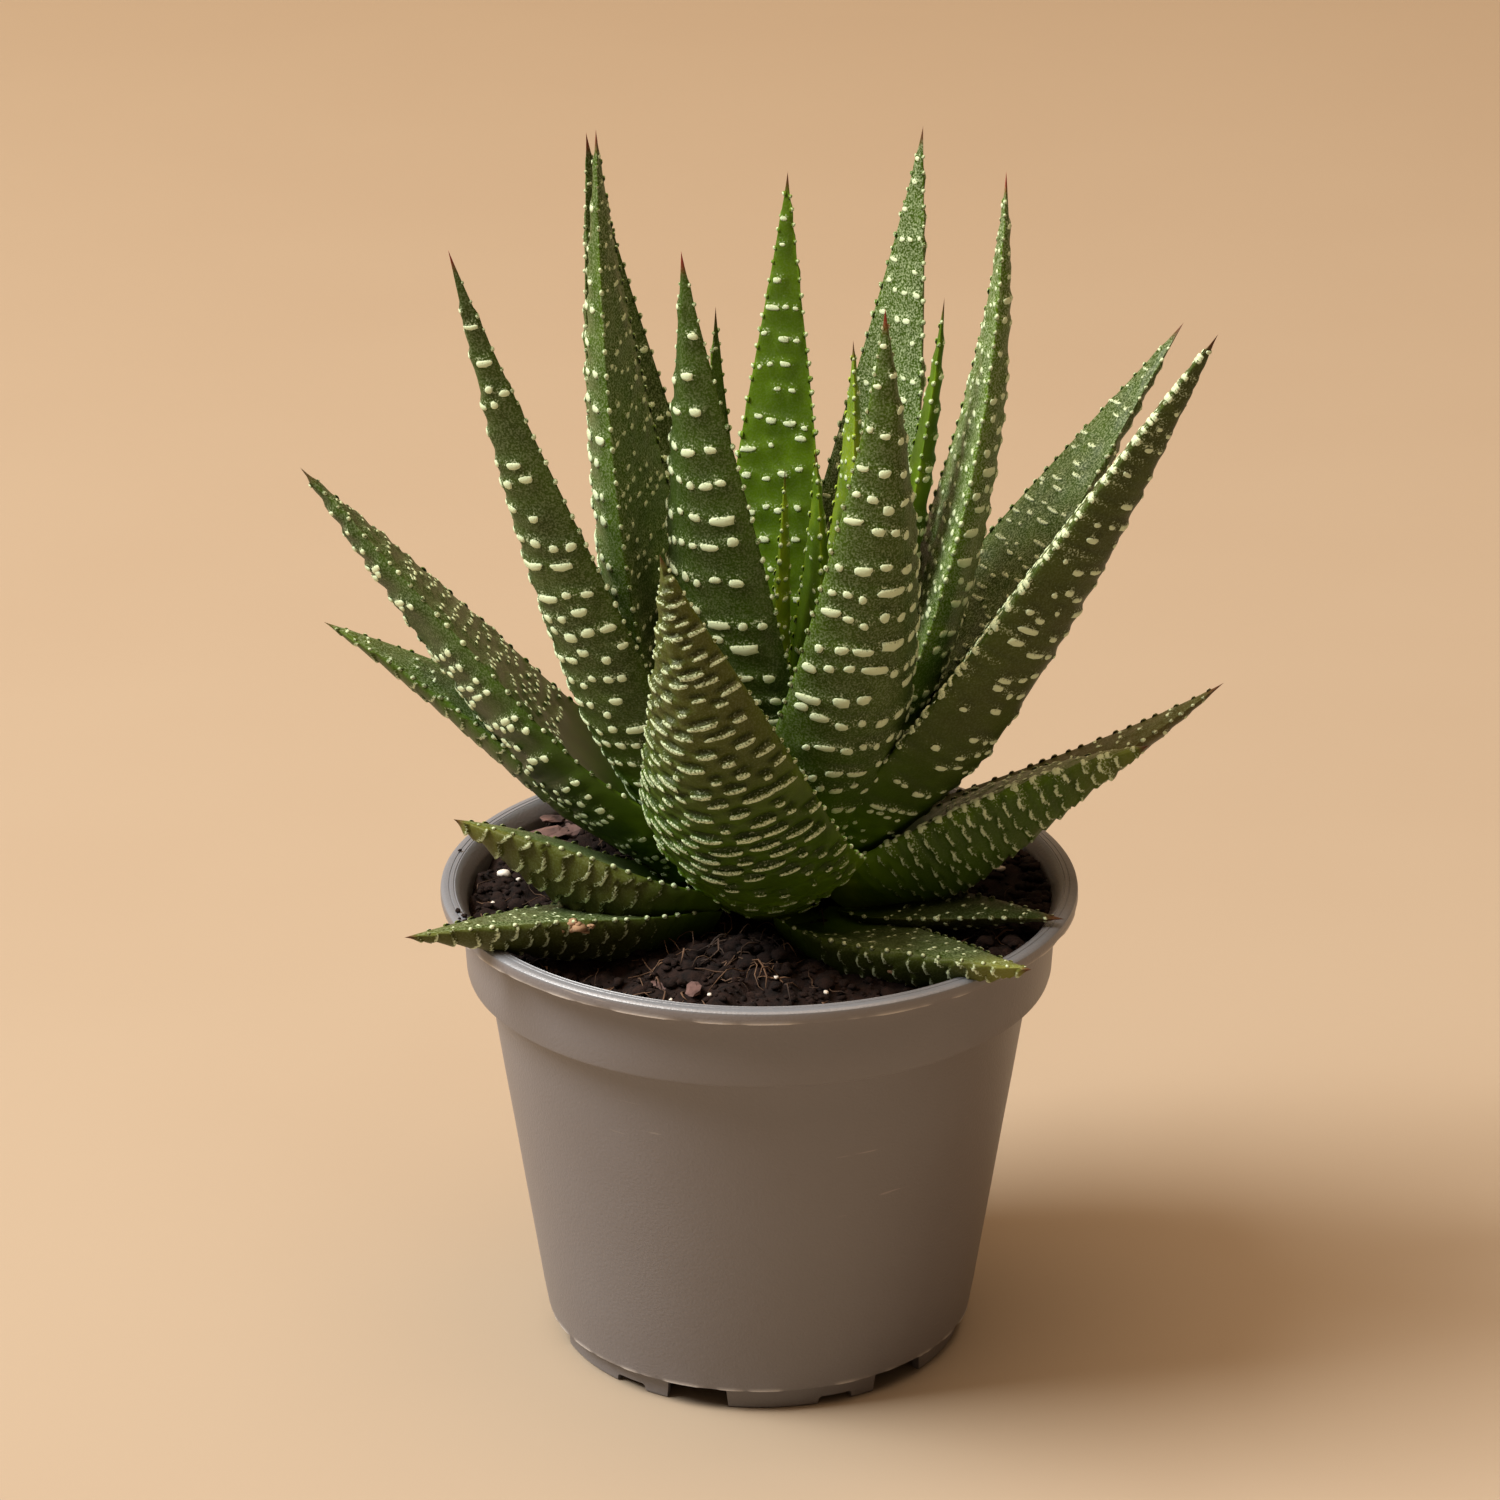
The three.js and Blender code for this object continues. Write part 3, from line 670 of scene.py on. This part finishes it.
LEAVES = [
    dict(az=22, reach=5, tip=173, width=12, thick=4, bow=1, spring=150,
         green=0.9, frost=0.15, pitch=5.0, bar=0.5, fine=4.6, dot=0.42, dots=0.5),
    dict(az=200, reach=7, tip=160, width=10, thick=3, bow=1,
         green=0.7, frost=0.15, pitch=5.0, bar=0.5, fine=4.6, dot=0.4, dots=0.4, hidden=1),
    dict(az=21, reach=11, tip=176, width=16, thick=5, bow=2,
         green=0.8, frost=0.2, pitch=5.0, bar=0.6, fine=4.4, dot=0.45, dots=0.5),
    dict(az=128, reach=13, tip=201, width=14, thick=5, bow=2,
         green=0.55, frost=0.3, pitch=5.0, bar=0.6, fine=4.6, dot=0.5, dots=0.5),
    dict(az=19, reach=18, tip=196, width=17, thick=6, bow=3,
         green=0.9, frost=0.45, pitch=5.0, bar=0.7, fine=4.4, dot=0.52, dots=0.7),
    dict(az=80, reach=30, tip=221, width=22, thick=7, bow=3, spring=95,
         green=0.68, frost=0.12, pitch=5.4, bar=0.8, fine=5.3, dot=0.62, dots=0.85),
    dict(az=10, reach=34, tip=204, width=16, thick=6, bow=4,
         green=0.66, frost=0.1, pitch=5.4, bar=0.72, fine=5.0, dot=0.55, dots=0.7),
    dict(az=238, reach=26, tip=221, width=31, thick=9, bow=3, spring=275, sway=2,
         green=0.38, frost=0.5, pitch=6.6, bar=0.86, fine=5.0, dot=0.6, dots=0.6, blush=0.5),
    dict(az=202, reach=31, tip=240, width=30, thick=11, roll=-42, bow=3.5,
         green=0.5, frost=1.0, pitch=6.2, bar=0.92, fine=3.9, dot=0.52, dots=0.8, blush=0.3),
    dict(az=43, reach=41, tip=230, width=30, thick=8, bow=4,
         green=0.46, frost=1.3, pitch=5.6, bar=0.8, fine=5.2, dot=0.6, dots=0.8),
    dict(az=130, reach=50, tip=226, width=30, thick=9, bow=5,
         green=0.34, frost=0.6, pitch=5.6, bar=0.8, fine=5.2, dot=0.6, dots=0.8, blush=0.3),
    dict(az=10, reach=45, tip=227, width=28, thick=9, bow=8,
         green=0.62, frost=1.5, pitch=4.6, bar=0.8, fine=3.6, dot=0.6, dots=0.95, blush=1),
    dict(az=306, reach=37, tip=213, width=31, thick=11, bow=8,
         green=0.46, olive=0.08, frost=0.8, pitch=5.4, bar=0.86, fine=4.4, dot=0.62, dots=0.6, blush=0.5),
    dict(az=213, reach=64, tip=225, width=27, thick=10, bow=2,
         green=0.36, olive=0.05, frost=0.6, pitch=5.6, bar=0.86, fine=4.6, dot=0.6, dots=0.7, blush=0.5),
    dict(az=340, reach=85, tip=208, width=30, thick=14, roll=4, bow=0,
         green=0.36, olive=0.3, frost=0.25, pitch=5.0, bar=0.66, fine=3.2, dot=0.6, dots=0.9, skip=0.28,
         studs=1),
    dict(az=26, reach=89, tip=189, width=31, thick=10, bow=-1,
         green=0.36, frost=0.8, ridged=0.8, pitch=5.0, bar=0.7, fine=3.4, dot=0.44, dots=0.95, wavy=1),
    dict(az=252, reach=56, tip=176, width=40, thick=14, bow=8, spring=276, sway=5,
         green=0.48, olive=0.5, bare=0.62, frost=0.3, pitch=2.6, brick=6.6, bar=0.56, fine=4.4, dot=0.5,
         dots=0.5, ridged=1.0, tan=0.8, yellow=0.05),
    dict(az=175, reach=84.8, tip=171, width=45, thick=11, bow=-1, spring=184, roll=11,
         green=0.3, frost=0.6, ridged=0.85, pitch=4.3, bar=0.8, fine=3.0, dot=0.5, dots=0.95, smooth=0.36,
         bare=0.55, tan=0.6),
    dict(az=100, reach=60, tip=158, width=30, thick=10, bow=5,
         green=0.4, frost=0.4, pitch=6.0, bar=0.8, fine=5.0, dot=0.6, dots=0.7, hidden=1),
    dict(az=170, reach=83, tip=138, width=28.5, thick=9, bow=-4,
         green=0.4, frost=0.8, pitch=4.2, bar=0.7, fine=4.6, dot=0.42, dots=0.4,
         scales=0.5, wide=5.4, tan=0.6, yellow=0.1),
    dict(az=4, reach=87, tip=129, width=24, thick=8, bow=3, spring=12,
         green=0.15, olive=0.85, fresh=0.25, frost=0.3, pitch=5.0, bar=0.5, fine=4.6, dot=0.45, dots=0.6),
    dict(az=348, reach=73, tip=125, width=27, thick=15, roll=-10, bow=-3.5,
         green=0.5, frost=0.55, pitch=3.1, bar=0.5, fine=3.0, dot=0.46, dots=0.95, smooth=0.36,
         scales=0.85, scaled=0.22, wide=3.8, yellow=0.3, studs=1),
    dict(az=60, reach=68, tip=128, width=26, thick=9, bow=4, **BEHIND),
    dict(az=130, reach=70, tip=108, width=26, thick=9, bow=2, **BEHIND),
    dict(az=201, reach=60, tip=113, width=29, thick=12, roll=14, bow=-2, spring=228,
         green=0.34, olive=0.45, frost=0.8, pitch=3.5, bar=0.6, fine=4.0, dot=0.34, dots=0.1, smooth=0.75,
         scales=1.3, wide=5.8, tan=0.8, yellow=0.3),
    dict(az=95, reach=60, tip=104, width=24, thick=8, bow=3, **BEHIND),
    dict(az=211, reach=75, tip=97, width=22, thick=9.5, roll=12, bow=-2, spring=232,
         green=0.24, olive=0.3, frost=0.8, pitch=3.3, bar=0.55, fine=3.8, dot=0.3, dots=0.5, smooth=0.3,
         scales=0.75, wide=5.0, yellow=0.15),
    dict(az=314, reach=70, tip=96, width=25, thick=9.5, roll=-12, bow=0, spring=296,
         green=0.28, olive=0.2, frost=0.8, pitch=3.3, bar=0.55, fine=3.6, dot=0.34, dots=0.6, smooth=0.25,
         scales=1.0, wide=4.4, yellow=0.6),
    dict(az=337, reach=61, tip=94, width=17, thick=5, bow=-1,
         green=0.1, olive=0.35, frost=0.3, pitch=4.6, bar=0.45, fine=4.0, dot=0.35, dots=0.5),
    dict(az=50, reach=60, tip=97, width=20, thick=6, bow=0,
         green=0.3, frost=0.4, pitch=5.0, bar=0.6, fine=5.0, dot=0.5, dots=0.5, hidden=1),
]


SHOULDER = 0.85


def root_radius(leaf):
    """How far from the middle of the stem a leaf springs, in millimetres."""
    return 3 + 15 * leaf["age"]


def fullness(from_tip):
    """How wide a leaf is at a place, next to its full width at the shoulder."""
    return np.sin(math.pi / 2 * np.minimum(from_tip / SHOULDER, 1) ** 1.1)


def leaf_course(leaf, s):
    """Middle line of a leaf at the places s, with the directions along, across and out of its inner face."""
    start = root_radius(leaf)
    spring, azimuth = math.radians(leaf.get("spring", leaf["az"])), math.radians(leaf["az"])
    base = np.array([start * math.cos(spring), start * math.sin(spring), 104 - 14.5 * leaf["age"]])
    tip = np.array([leaf["reach"] * math.cos(azimuth), leaf["reach"] * math.sin(azimuth), leaf["tip"]])
    chord = (tip - base) / np.linalg.norm(tip - base)
    across = np.array([-chord[1], chord[0], 0])
    across /= np.linalg.norm(across)
    inwards = np.cross(chord, across)
    knee = (base + tip) / 2 - 2 * leaf["bow"] * inwards + 2 * leaf.get("sway", 0) * across
    s = s[:, None]
    middle = (1 - s) ** 2 * base + 2 * s * (1 - s) * knee + s**2 * tip
    along = 2 * (1 - s) * (knee - base) + 2 * s * (tip - knee)
    along /= np.linalg.norm(along, axis=1)[:, None]
    side = across - along * (along @ across)[:, None]
    side /= np.linalg.norm(side, axis=1)[:, None]
    face = np.cross(along, side)
    roll = math.radians(leaf.get("roll", 0))
    rolled_side = side * math.cos(roll) + face * math.sin(roll)
    rolled_face = face * math.cos(roll) - side * math.sin(roll)
    return middle, along, rolled_side, rolled_face


def leaf_skin(leaf, s, turn):
    """A leaf's bare skin at places s and turns; its margins are at 0 and pi, its keel at 3/2 pi."""
    s = np.clip(s, 0, 1)
    middle, _, side, face = leaf_course(leaf, s)
    from_tip = 1 - s
    neck = 1 - 0.35 * (from_tip - SHOULDER) / 0.15
    width = np.where(from_tip > SHOULDER, neck, fullness(from_tip))
    half = leaf["width"] / 2 * width
    deep = leaf["thick"] * np.sin(math.pi / 2 * np.minimum(1, from_tip / 0.8))
    deep = deep * (1 - 0.45 * np.maximum(0, 1 - s / 0.3))
    hollow = leaf["width"] * (0.12 * s - 0.06) * width
    cos = np.cos(turn)
    outer = np.sin(turn) < 0
    rim = np.maximum(0, 1 - np.abs(cos) ** np.where(outer, 2 - 0.7 * s, 2))
    across = half * cos
    out = np.where(outer, -deep * rim**0.7, hollow * rim)
    cup = np.maximum(0, 1 - s / 0.42) ** 2 / (2 * (root_radius(leaf) + 9))
    out = out + cup * across**2
    return middle + across[:, None] * side + out[:, None] * face


def leaf_normal(leaf, s, turn):
    """Outward directions of the bare skin, and how many millimetres a step of s and of turn covers."""
    ds, dt = 0.004, 0.02
    by_s = (leaf_skin(leaf, s + ds, turn) - leaf_skin(leaf, s - ds, turn)) / (
        np.clip(s + ds, 0, 1) - np.clip(s - ds, 0, 1))[:, None]
    by_turn = (leaf_skin(leaf, s, turn + dt) - leaf_skin(leaf, s, turn - dt)) / (2 * dt)
    normal = np.cross(by_turn, by_s)
    normal /= np.linalg.norm(normal, axis=1)[:, None] + 1e-12
    return normal, np.linalg.norm(by_s, axis=1), np.linalg.norm(by_turn, axis=1)


def walk_round(leaf, s, start, end, count):
    """Turns from one side of a leaf to another, and how far along the skin each of them lies."""
    turns = np.linspace(start, end, count)
    path = leaf_skin(leaf, np.full(count, s), turns)
    return turns, np.concatenate([[0], np.cumsum(np.linalg.norm(np.diff(path, axis=0), axis=1))])


def girth_from_keel(leaf, s, turn):
    """How far round from the keel each point lies, measured halfway up and scaled to its place."""
    turns, run = walk_round(leaf, 0.5, 0, 2 * math.pi, 361)
    keel, halfway = run[270], 0.77
    return (np.interp(turn, turns, run) - keel) * np.maximum(fullness(1 - s) / halfway, 0.2)


def scallops(across, down, pitch, wide):
    """Overlapping scales, free edge towards the base: how high the skin stands and how near a rim it is."""
    height = np.zeros_like(across)
    rim = np.zeros_like(across)
    settled = np.zeros(across.shape, dtype=bool)
    row = np.floor(down / pitch)
    for k in (row - 1, row, row + 1):
        cell = across / wide + 0.5 * np.mod(k, 2) + 0.12 * np.sin(2.9 * k)
        local = cell - np.round(cell)
        wobble = 0.2 * np.sin(1.7 * k + 2.3 * np.round(cell))
        edge = (k + 1 + wobble) * pitch - 0.26 * wide * (2 * local) ** 2
        inside = (down < edge) & ~settled
        away = edge - down
        height = np.where(inside, 0.8 - 0.75 * away / pitch + 0.3 * (1 - (2 * local) ** 2), height)
        rim = np.where(inside, np.exp(-((away / 0.7) ** 2)) * (1 - 0.8 * np.abs(2 * local) ** 3), rim)
        settled |= inside
    return np.clip(height, 0, 1.1), rim


def smoothly(value, low, high):
    """0 below low, 1 above high, and an easy rise between them."""
    x = np.clip((value - low) / (high - low), 0, 1)
    return x * x * (3 - 2 * x)


# One wart, modelled once: a low dome with a skirt that sinks into the skin.
select_nothing()
bpy.ops.mesh.primitive_uv_sphere_add(segments=10, ring_count=5, radius=1)
dome = bpy.context.object
switch_to("EDIT")
bpy.ops.mesh.select_mode(type="VERT")
bpy.ops.mesh.select_all(action="DESELECT")
switch_to("OBJECT")
for vertex in dome.data.vertices:
    vertex.select = vertex.co.z < -0.5
switch_to("EDIT")
bpy.ops.mesh.delete(type="VERT")
switch_to("OBJECT")
dome_points, dome_faces = mesh_arrays(dome.data)
bpy.data.objects.remove(dome)


def wart_row(leaf, s, start, end, half_width, gaps, dice, skip, long_share):
    """Warts side by side across one face: turn, half-length across, half-width along and height."""
    turns, run = walk_round(leaf, s, start, end, 40)
    found, at = [], dice.uniform(0, min(gaps[1], 0.25 * run[-1]))
    while True:
        wide = half_width * dice.uniform(0.8, 1.12)
        if dice.random() < long_share:
            long = wide * dice.uniform(1.6, 2.3 + 2.4 * long_share)
        else:
            long = wide * dice.uniform(1.0, 1.6)
        if at + 2 * long > run[-1]:
            return found
        if dice.random() > skip:
            found.append((float(np.interp(at + long, run, turns)), long, wide, 0.24 * wide + 0.09))
        at += 2 * long + dice.uniform(*gaps)


LOWEST_BAND = 0.05
HIGHEST_BAND = 0.97
FACE_EDGE = 0.22


def leaf_warts(leaf, length, dice):
    """Every wart: place along, turn, half-length, half-width, height, paleness, and 1 on a margin."""
    warts = []
    half = leaf["width"] / 2
    clear = 0.4 if "studs" in leaf else 0.2

    def band(s, start, end, half_width, gaps, skip, long_share, flatten, bright, loose):
        """One band of warts, a little askew and with its warts a little out of line."""
        askew = dice.gauss(0, 0.09)
        for turn, long, wide, tall in wart_row(leaf, s, start, end, half_width, gaps, dice, skip, long_share):
            shift = askew * half * math.cos(turn) + dice.gauss(0, loose)
            warts.append((s + shift / length, turn, long, wide, flatten * tall, bright, 0))

    def bricks():
        """Bars of a thickly set face, in rows where each bar stands over a gap of the row below."""
        row, at = 0, LOWEST_BAND * length
        while at < 0.962 * length:
            s = at / length
            turns, run = walk_round(leaf, s, math.pi + 0.1, 2 * math.pi - 0.1, 60)
            room = leaf["brick"] * (0.5 + 0.5 * smoothly(1 - s, 0.0, 0.4))
            for column in range(-6, 7):
                place = 0.5 * run[-1] + (column + 0.5 * (row % 2)) * room + dice.gauss(0, 0.09 * room)
                long = room * dice.choice((0.14, 0.2, 0.28, 0.36, 0.42)) * (1 if s > 0.32 else 0.55)
                if not long < place < run[-1] - long or (s < 0.3 and dice.random() < 0.3):
                    continue
                wide = leaf["bar"] * (0.7 + 0.35 * math.sin(math.pi * s)) * dice.uniform(0.85, 1.12)
                where = float(np.interp(place, run, turns))
                warts.append((s + dice.gauss(0, 0.3) / length, where, long, wide, 0.4 * wide + 0.1, 0.64, 0))
            at += leaf["pitch"] * (0.66 + 0.34 * smoothly(1 - s, 0.0, 0.4))
            row += 1

    def outer_bands():
        at = LOWEST_BAND * length
        while at < HIGHEST_BAND * length:
            s = at / length
            size = leaf["bar"] * (0.58 + 0.47 * math.sin(math.pi * min(1, s * 1.05)) ** 0.8)
            band(s, math.pi + clear, 2 * math.pi - clear, size, gaps=(0.5, 1.9), skip=leaf.get("skip", 0.06),
                 long_share=0.24, flatten=1, bright=0.62 + 0.38 * min(1, s / 0.3), loose=0.75)
            at += leaf["pitch"] * (0.84 + 0.16 * s) * dice.uniform(0.88, 1.12)

    def inner_bands():
        at = leaf.get("smooth", 0.3) * length
        while at < 0.965 * length:
            s = at / length
            size = leaf["dot"] * (0.62 + 0.43 * math.sin(math.pi * s) ** 0.8)
            if leaf.get("wavy"):
                band(s, 0.3, math.pi - 0.3, size, gaps=(0.6, 2.4), skip=0.2, long_share=0.8, flatten=1.1,
                     bright=0.66, loose=0.6)
            else:
                band(s, FACE_EDGE, math.pi - FACE_EDGE, size, gaps=(0.5, 2.6),
                     skip=0.75 - 0.65 * leaf["dots"], long_share=0.12, flatten=0.75, bright=0.85, loose=0.5)
            at += leaf["fine"] * dice.uniform(0.8, 1.2)

    def margin_teeth(edge, studded):
        at = 0.09 * length + dice.uniform(0, 3)
        while at < 0.972 * length:
            s = at / length
            size = 0.36 + 0.2 * math.sin(math.pi * s) + dice.uniform(-0.07, 0.12)
            warts.append((s, edge, size, size * 1.1, size * 1.25, dice.uniform(0.45, 0.85), 1))
            if studded and s > 0.25:
                for inwards in (0.2, 0.42):
                    turn = edge - inwards + dice.gauss(0, 0.05)
                    place = s + dice.gauss(0, 0.8) / length
                    warts.append((place, turn, 1.3 * size, 1.2 * size, 0.8 * size, 0.95, 0))
            at += dice.uniform(2.2, 4.4)

    if "brick" in leaf:
        bricks()
    elif "scales" not in leaf:
        outer_bands()
    inner_bands()
    margin_teeth(0.0, studded=False)
    margin_teeth(math.pi, studded="studs" in leaf)
    return np.array(warts)


DROOP = 0.035


def swellings(leaf, s, turn, warts):
    """What the warts do to the skin round them: how far it swells, where it creases and gets painted shade,
    and how far it turns pale.
    """
    swell, crease_and_painted_shade, halo = np.zeros_like(s), np.zeros_like(s), np.zeros_like(s)
    _, by_s, by_turn = leaf_normal(leaf, warts[:, 0], warts[:, 1])
    dense = "brick" in leaf
    below, above = (2.5, 0.75) if dense else (2.2, 1.3)
    for (s0, turn0, long, wide, _, pale, margin), run_s, run_turn in zip(warts, by_s, by_turn):
        if margin:
            continue
        near = np.abs(s - s0) * run_s < 5.0
        across = (turn[near] - turn0) * run_turn
        up = (s[near] - s0) * run_s - DROOP * across**2
        side = np.exp(-((np.abs(across) / (long + (0.5 if dense else 0.9))) ** 4))
        shape = np.where(up < 0, np.exp(-((up / below) ** 2)), np.exp(-((up / above) ** 4)))
        swell[near] = np.maximum(swell[near], shape * side * min(1, wide / 0.7 + 0.2 * dense))
        # The crease above each wart dents the skin and also carries painted shade.
        crease_and_painted_shade[near] = np.maximum(crease_and_painted_shade[near], side * np.exp(-(((up - 1.25 * above) / 0.6) ** 2)))
        spray = np.exp(-((np.abs(across) / (long + 0.5)) ** 4) - ((up - 0.4) / (wide + 0.55)) ** 2)
        halo[near] = np.maximum(halo[near], spray * pale)
    return swell, crease_and_painted_shade, halo


STEPS_ASIDE = 20


def place_warts(leaf, warts):
    """Copies of the dome, wrapped on the leaf's skin, as points and how pale each point is; painted shade
    dims each tip side.

    On a face a copy follows the skin, true to length. On a margin it stands out as a tooth.
    """
    count, each = len(warts), len(dome_points)
    s0, t0, long, wide, tall, pale, margin = warts.T
    _, by_s, _ = leaf_normal(leaf, s0, t0)
    tx, ty, tz = dome_points.T
    across = wide[:, None] * tx[None, :] + (long - wide)[:, None] * np.clip(tx * 1.9, -1, 1)[None, :]
    around = np.arctan2(ty, tx)[None, :]
    ragged = 1 + 0.1 * np.sin(2 * around + 37 * s0[:, None] + 5 * t0[:, None])
    ragged = ragged + 0.07 * np.sin(3 * around + 91 * s0[:, None])
    across = across * ragged
    down = wide[:, None] * ty[None, :] * ragged + DROOP * across**2
    s = (s0[:, None] + down / by_s[:, None]).ravel()
    steps = 2 * STEPS_ASIDE + 1
    turns = t0[:, None] + np.linspace(-1, 1, steps)
    path = leaf_skin(leaf, np.repeat(s0, steps), turns.ravel()).reshape(count, steps, 3)
    run = np.cumsum(np.linalg.norm(np.diff(path, axis=1, prepend=path[:, :1]), axis=2), axis=1)
    run -= run[:, [STEPS_ASIDE]]
    turn = np.concatenate([np.interp(*wart) for wart in zip(across, run, turns)])
    normal, _, _ = leaf_normal(leaf, s, turn)
    rise = (tall[:, None] * tz[None, :]).ravel()
    lift = np.where(margin > 0.5, 0, 0.9 * leaf.get("ridged", 0.5) * np.minimum(1, wide / 0.7))
    wrapped = leaf_skin(leaf, s, turn) + (rise + np.repeat(lift, each))[:, None] * normal
    _, along, side, face = leaf_course(leaf, s0)
    centre = leaf_skin(leaf, s0, t0)
    outward = side * np.cos(t0)[:, None]
    flat = (centre[:, None, :]
            + along[:, None, :] * (wide[:, None] * (ty[None, :] + 0.35 * tz[None, :]))[:, :, None]
            + face[:, None, :] * (0.8 * long[:, None] * tx[None, :])[:, :, None]
            + outward[:, None, :] * (tall[:, None] * tz[None, :] - 0.1)[:, :, None]).reshape(-1, 3)
    points = np.where(np.repeat(margin > 0.5, each)[:, None], flat, wrapped)
    # Each wart is paler on top than on its skirt, and about a third less pale on its tip side: painted shade.
    pale_with_painted_shade = smoothly(tz, -0.35, 0.35) * (1 - 0.35 * smoothly(ty, 0.1, 0.9))
    return points, np.repeat(pale, each) * np.tile(pale_with_painted_shade, count)


leaf_material, shader = new_material("leaf_skin", 0.44, specular=0.16)
blotch = noise_texture(leaf_material, 150, detail=4)
speck = noise_texture(leaf_material, 2700, detail=1)


def reading(name):
    return stored(leaf_material, name)


uneven = calculate("MULTIPLY", calculate("SUBTRACT", blotch, 0.5), 0.4)
skin = colour_ramp(
    calculate("ADD", reading("green"), uneven),
    (0.0, srgb(30, 40, 6)),
    (0.3, srgb(44, 62, 10)),
    (0.55, srgb(58, 84, 7)),
    (0.8, srgb(88, 120, 9)),
    (1.0, srgb(138, 164, 28)),
)
skin = mix(reading("olive"), skin, srgb(82, 74, 32))
skin = mix(reading("yellow"), skin, srgb(136, 138, 58))
# Painted shade: the skin is darkened along the crease above each wart.
skin = mix(calculate("MULTIPLY", reading("crease_and_painted_shade"), 0.6), skin, srgb(16, 26, 4))
specks = calculate("MULTIPLY", remap(speck, 0.42, 0.72), 0.78)
skin = mix(calculate("MULTIPLY", reading("frost"), specks), skin, srgb(148, 164, 124))
skin = mix(reading("tipped"), skin, mix(reading("blush"), srgb(86, 54, 34), srgb(142, 30, 30)))
grain = calculate("MULTIPLY", calculate("SUBTRACT", speck, 0.5), 1.1)
powder = remap(calculate("ADD", reading("pale"), grain), 0.34, 0.72)
feed(shader.inputs["Base Color"], mix(powder, skin, srgb(204, 220, 182)))
feed(shader.inputs["Normal"], bump(speck, 0.3, 0.1 * MM))

for index, leaf in enumerate(LEAVES):
    leaf["age"] = index / (len(LEAVES) - 1)
    node = f"leaf_{index + 1:02d}"
    dice = random.Random(700 + index)
    probe = leaf_course(leaf, np.linspace(0, 1, 60))[0]
    length = float(np.linalg.norm(np.diff(probe, axis=0), axis=1).sum())
    scaly, dense, ridged = leaf.get("scales", 0), "brick" in leaf, leaf.get("ridged", 0.5)
    if scaly or dense:
        columns, row = 84, 0.36
    elif leaf.get("hidden") or leaf["width"] < 20:
        columns, row = 30, 1.0
    else:
        columns, row = 44, 0.7
    select_nothing()
    bpy.ops.mesh.primitive_uv_sphere_add(segments=columns, ring_count=int(length / row), radius=1)
    piece = bpy.context.object
    sphere = points_of(piece.data)
    faces = mesh_arrays(piece.data)[1]
    bpy.data.objects.remove(piece)
    s = 1 - np.arccos(np.clip(sphere[:, 2], -1, 1)) / math.pi
    turn = np.arctan2(sphere[:, 1], sphere[:, 0]) % (2 * math.pi)
    skin = leaf_skin(leaf, s, turn)
    normal, _, _ = leaf_normal(leaf, np.clip(s, 0.01, 0.99), turn)
    warts = leaf_warts(leaf, length, dice)
    swell, crease_and_painted_shade, halo = swellings(leaf, s, turn, warts)
    ends = smoothly(s, 0.04, 0.12) * (1 - smoothly(s, 0.93, 1.0))
    lift = swell * ends * ridged - 0.4 * crease_and_painted_shade * dense
    rim = np.zeros_like(s)
    if scaly:
        across = girth_from_keel(leaf, s, turn)
        height, rim = scallops(across, (1 - s) * length, leaf["pitch"], leaf["wide"])
        on_outside = smoothly(-np.sin(turn), 0.0, 0.25)
        full = leaf.get("scaled", 0.35)
        strength = on_outside * (0.35 * smoothly(s, 0.06, 0.3) + 0.65 * smoothly(s, full - 0.2, full + 0.1))
        strength = strength * (1 - smoothly(s, 0.93, 1.0))
        lift = lift + scaly * height * strength
        rim = rim * strength
    skin = skin + (lift * (np.abs(sphere[:, 2]) < 0.9999))[:, None] * normal
    wart_points, wart_pale = place_warts(leaf, warts)
    each = len(dome_points)
    for i in range(len(warts)):
        offset = len(skin) + i * each
        faces.extend(tuple(v + offset for v in face) for face in dome_faces)
    mesh = bpy.data.meshes.new(node + "_fine")
    mesh.from_pydata((np.concatenate([skin, wart_points]) * MM).tolist(), [], faces)
    mesh.polygons.foreach_set("use_smooth", [True] * len(mesh.polygons))
    piece = bpy.data.objects.new(node + "_fine", mesh)
    bpy.context.collection.objects.link(piece)

    # The colouring is stored point by point. Skin comes first, then the warts, which only add paleness.
    bare = np.zeros(len(warts) * each)
    place = np.concatenate([s, np.repeat(warts[:, 0], each)])
    around = np.concatenate([turn, np.repeat(warts[:, 1], each)])
    inside = smoothly(np.sin(around), -0.1, 0.3)
    # A painted glow along the margins, as if light shone through the thin edges.
    painted_edge_glow = np.exp(-((np.sin(around) / 0.4) ** 2))
    begin = leaf.get("bare", 0.35)
    grown = smoothly(place, begin - 0.25, begin + 0.1)
    outer_frost = 0.2 if scaly else 0.7
    point = (2.6 if leaf.get("yellow") else 5.0) / length
    colouring = {
        "pale": np.concatenate([np.maximum(0.95 * rim, 0.42 * halo * ends), wart_pale]),
        "crease_and_painted_shade": np.concatenate([crease_and_painted_shade * (1.0 if dense else 0.5), bare]),
        # The green reading also carries the painted glow at the margins.
        "green": leaf["green"] + 0.34 * smoothly(0.34 - place, 0, 0.3) + 0.12 * painted_edge_glow,
        "olive": leaf.get("olive", 0) * (1 - inside * leaf.get("fresh", 1)) * grown,
        "frost": leaf["frost"] * (outer_frost + (1 - outer_frost) * inside) * grown,
        "tipped": leaf.get("tan", 1.0) * smoothly(place, 1 - point, 1 - 0.3 * point),
        "yellow": leaf.get("yellow", 0.0) * smoothly(place, 0.7, 0.97),
        "blush": np.full(len(place), leaf.get("blush", 0.0)),
    }
    for name, values in colouring.items():
        spread(mesh, name, values)
    mesh.materials.append(leaf_material)
    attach(piece, "root")
    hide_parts(node)
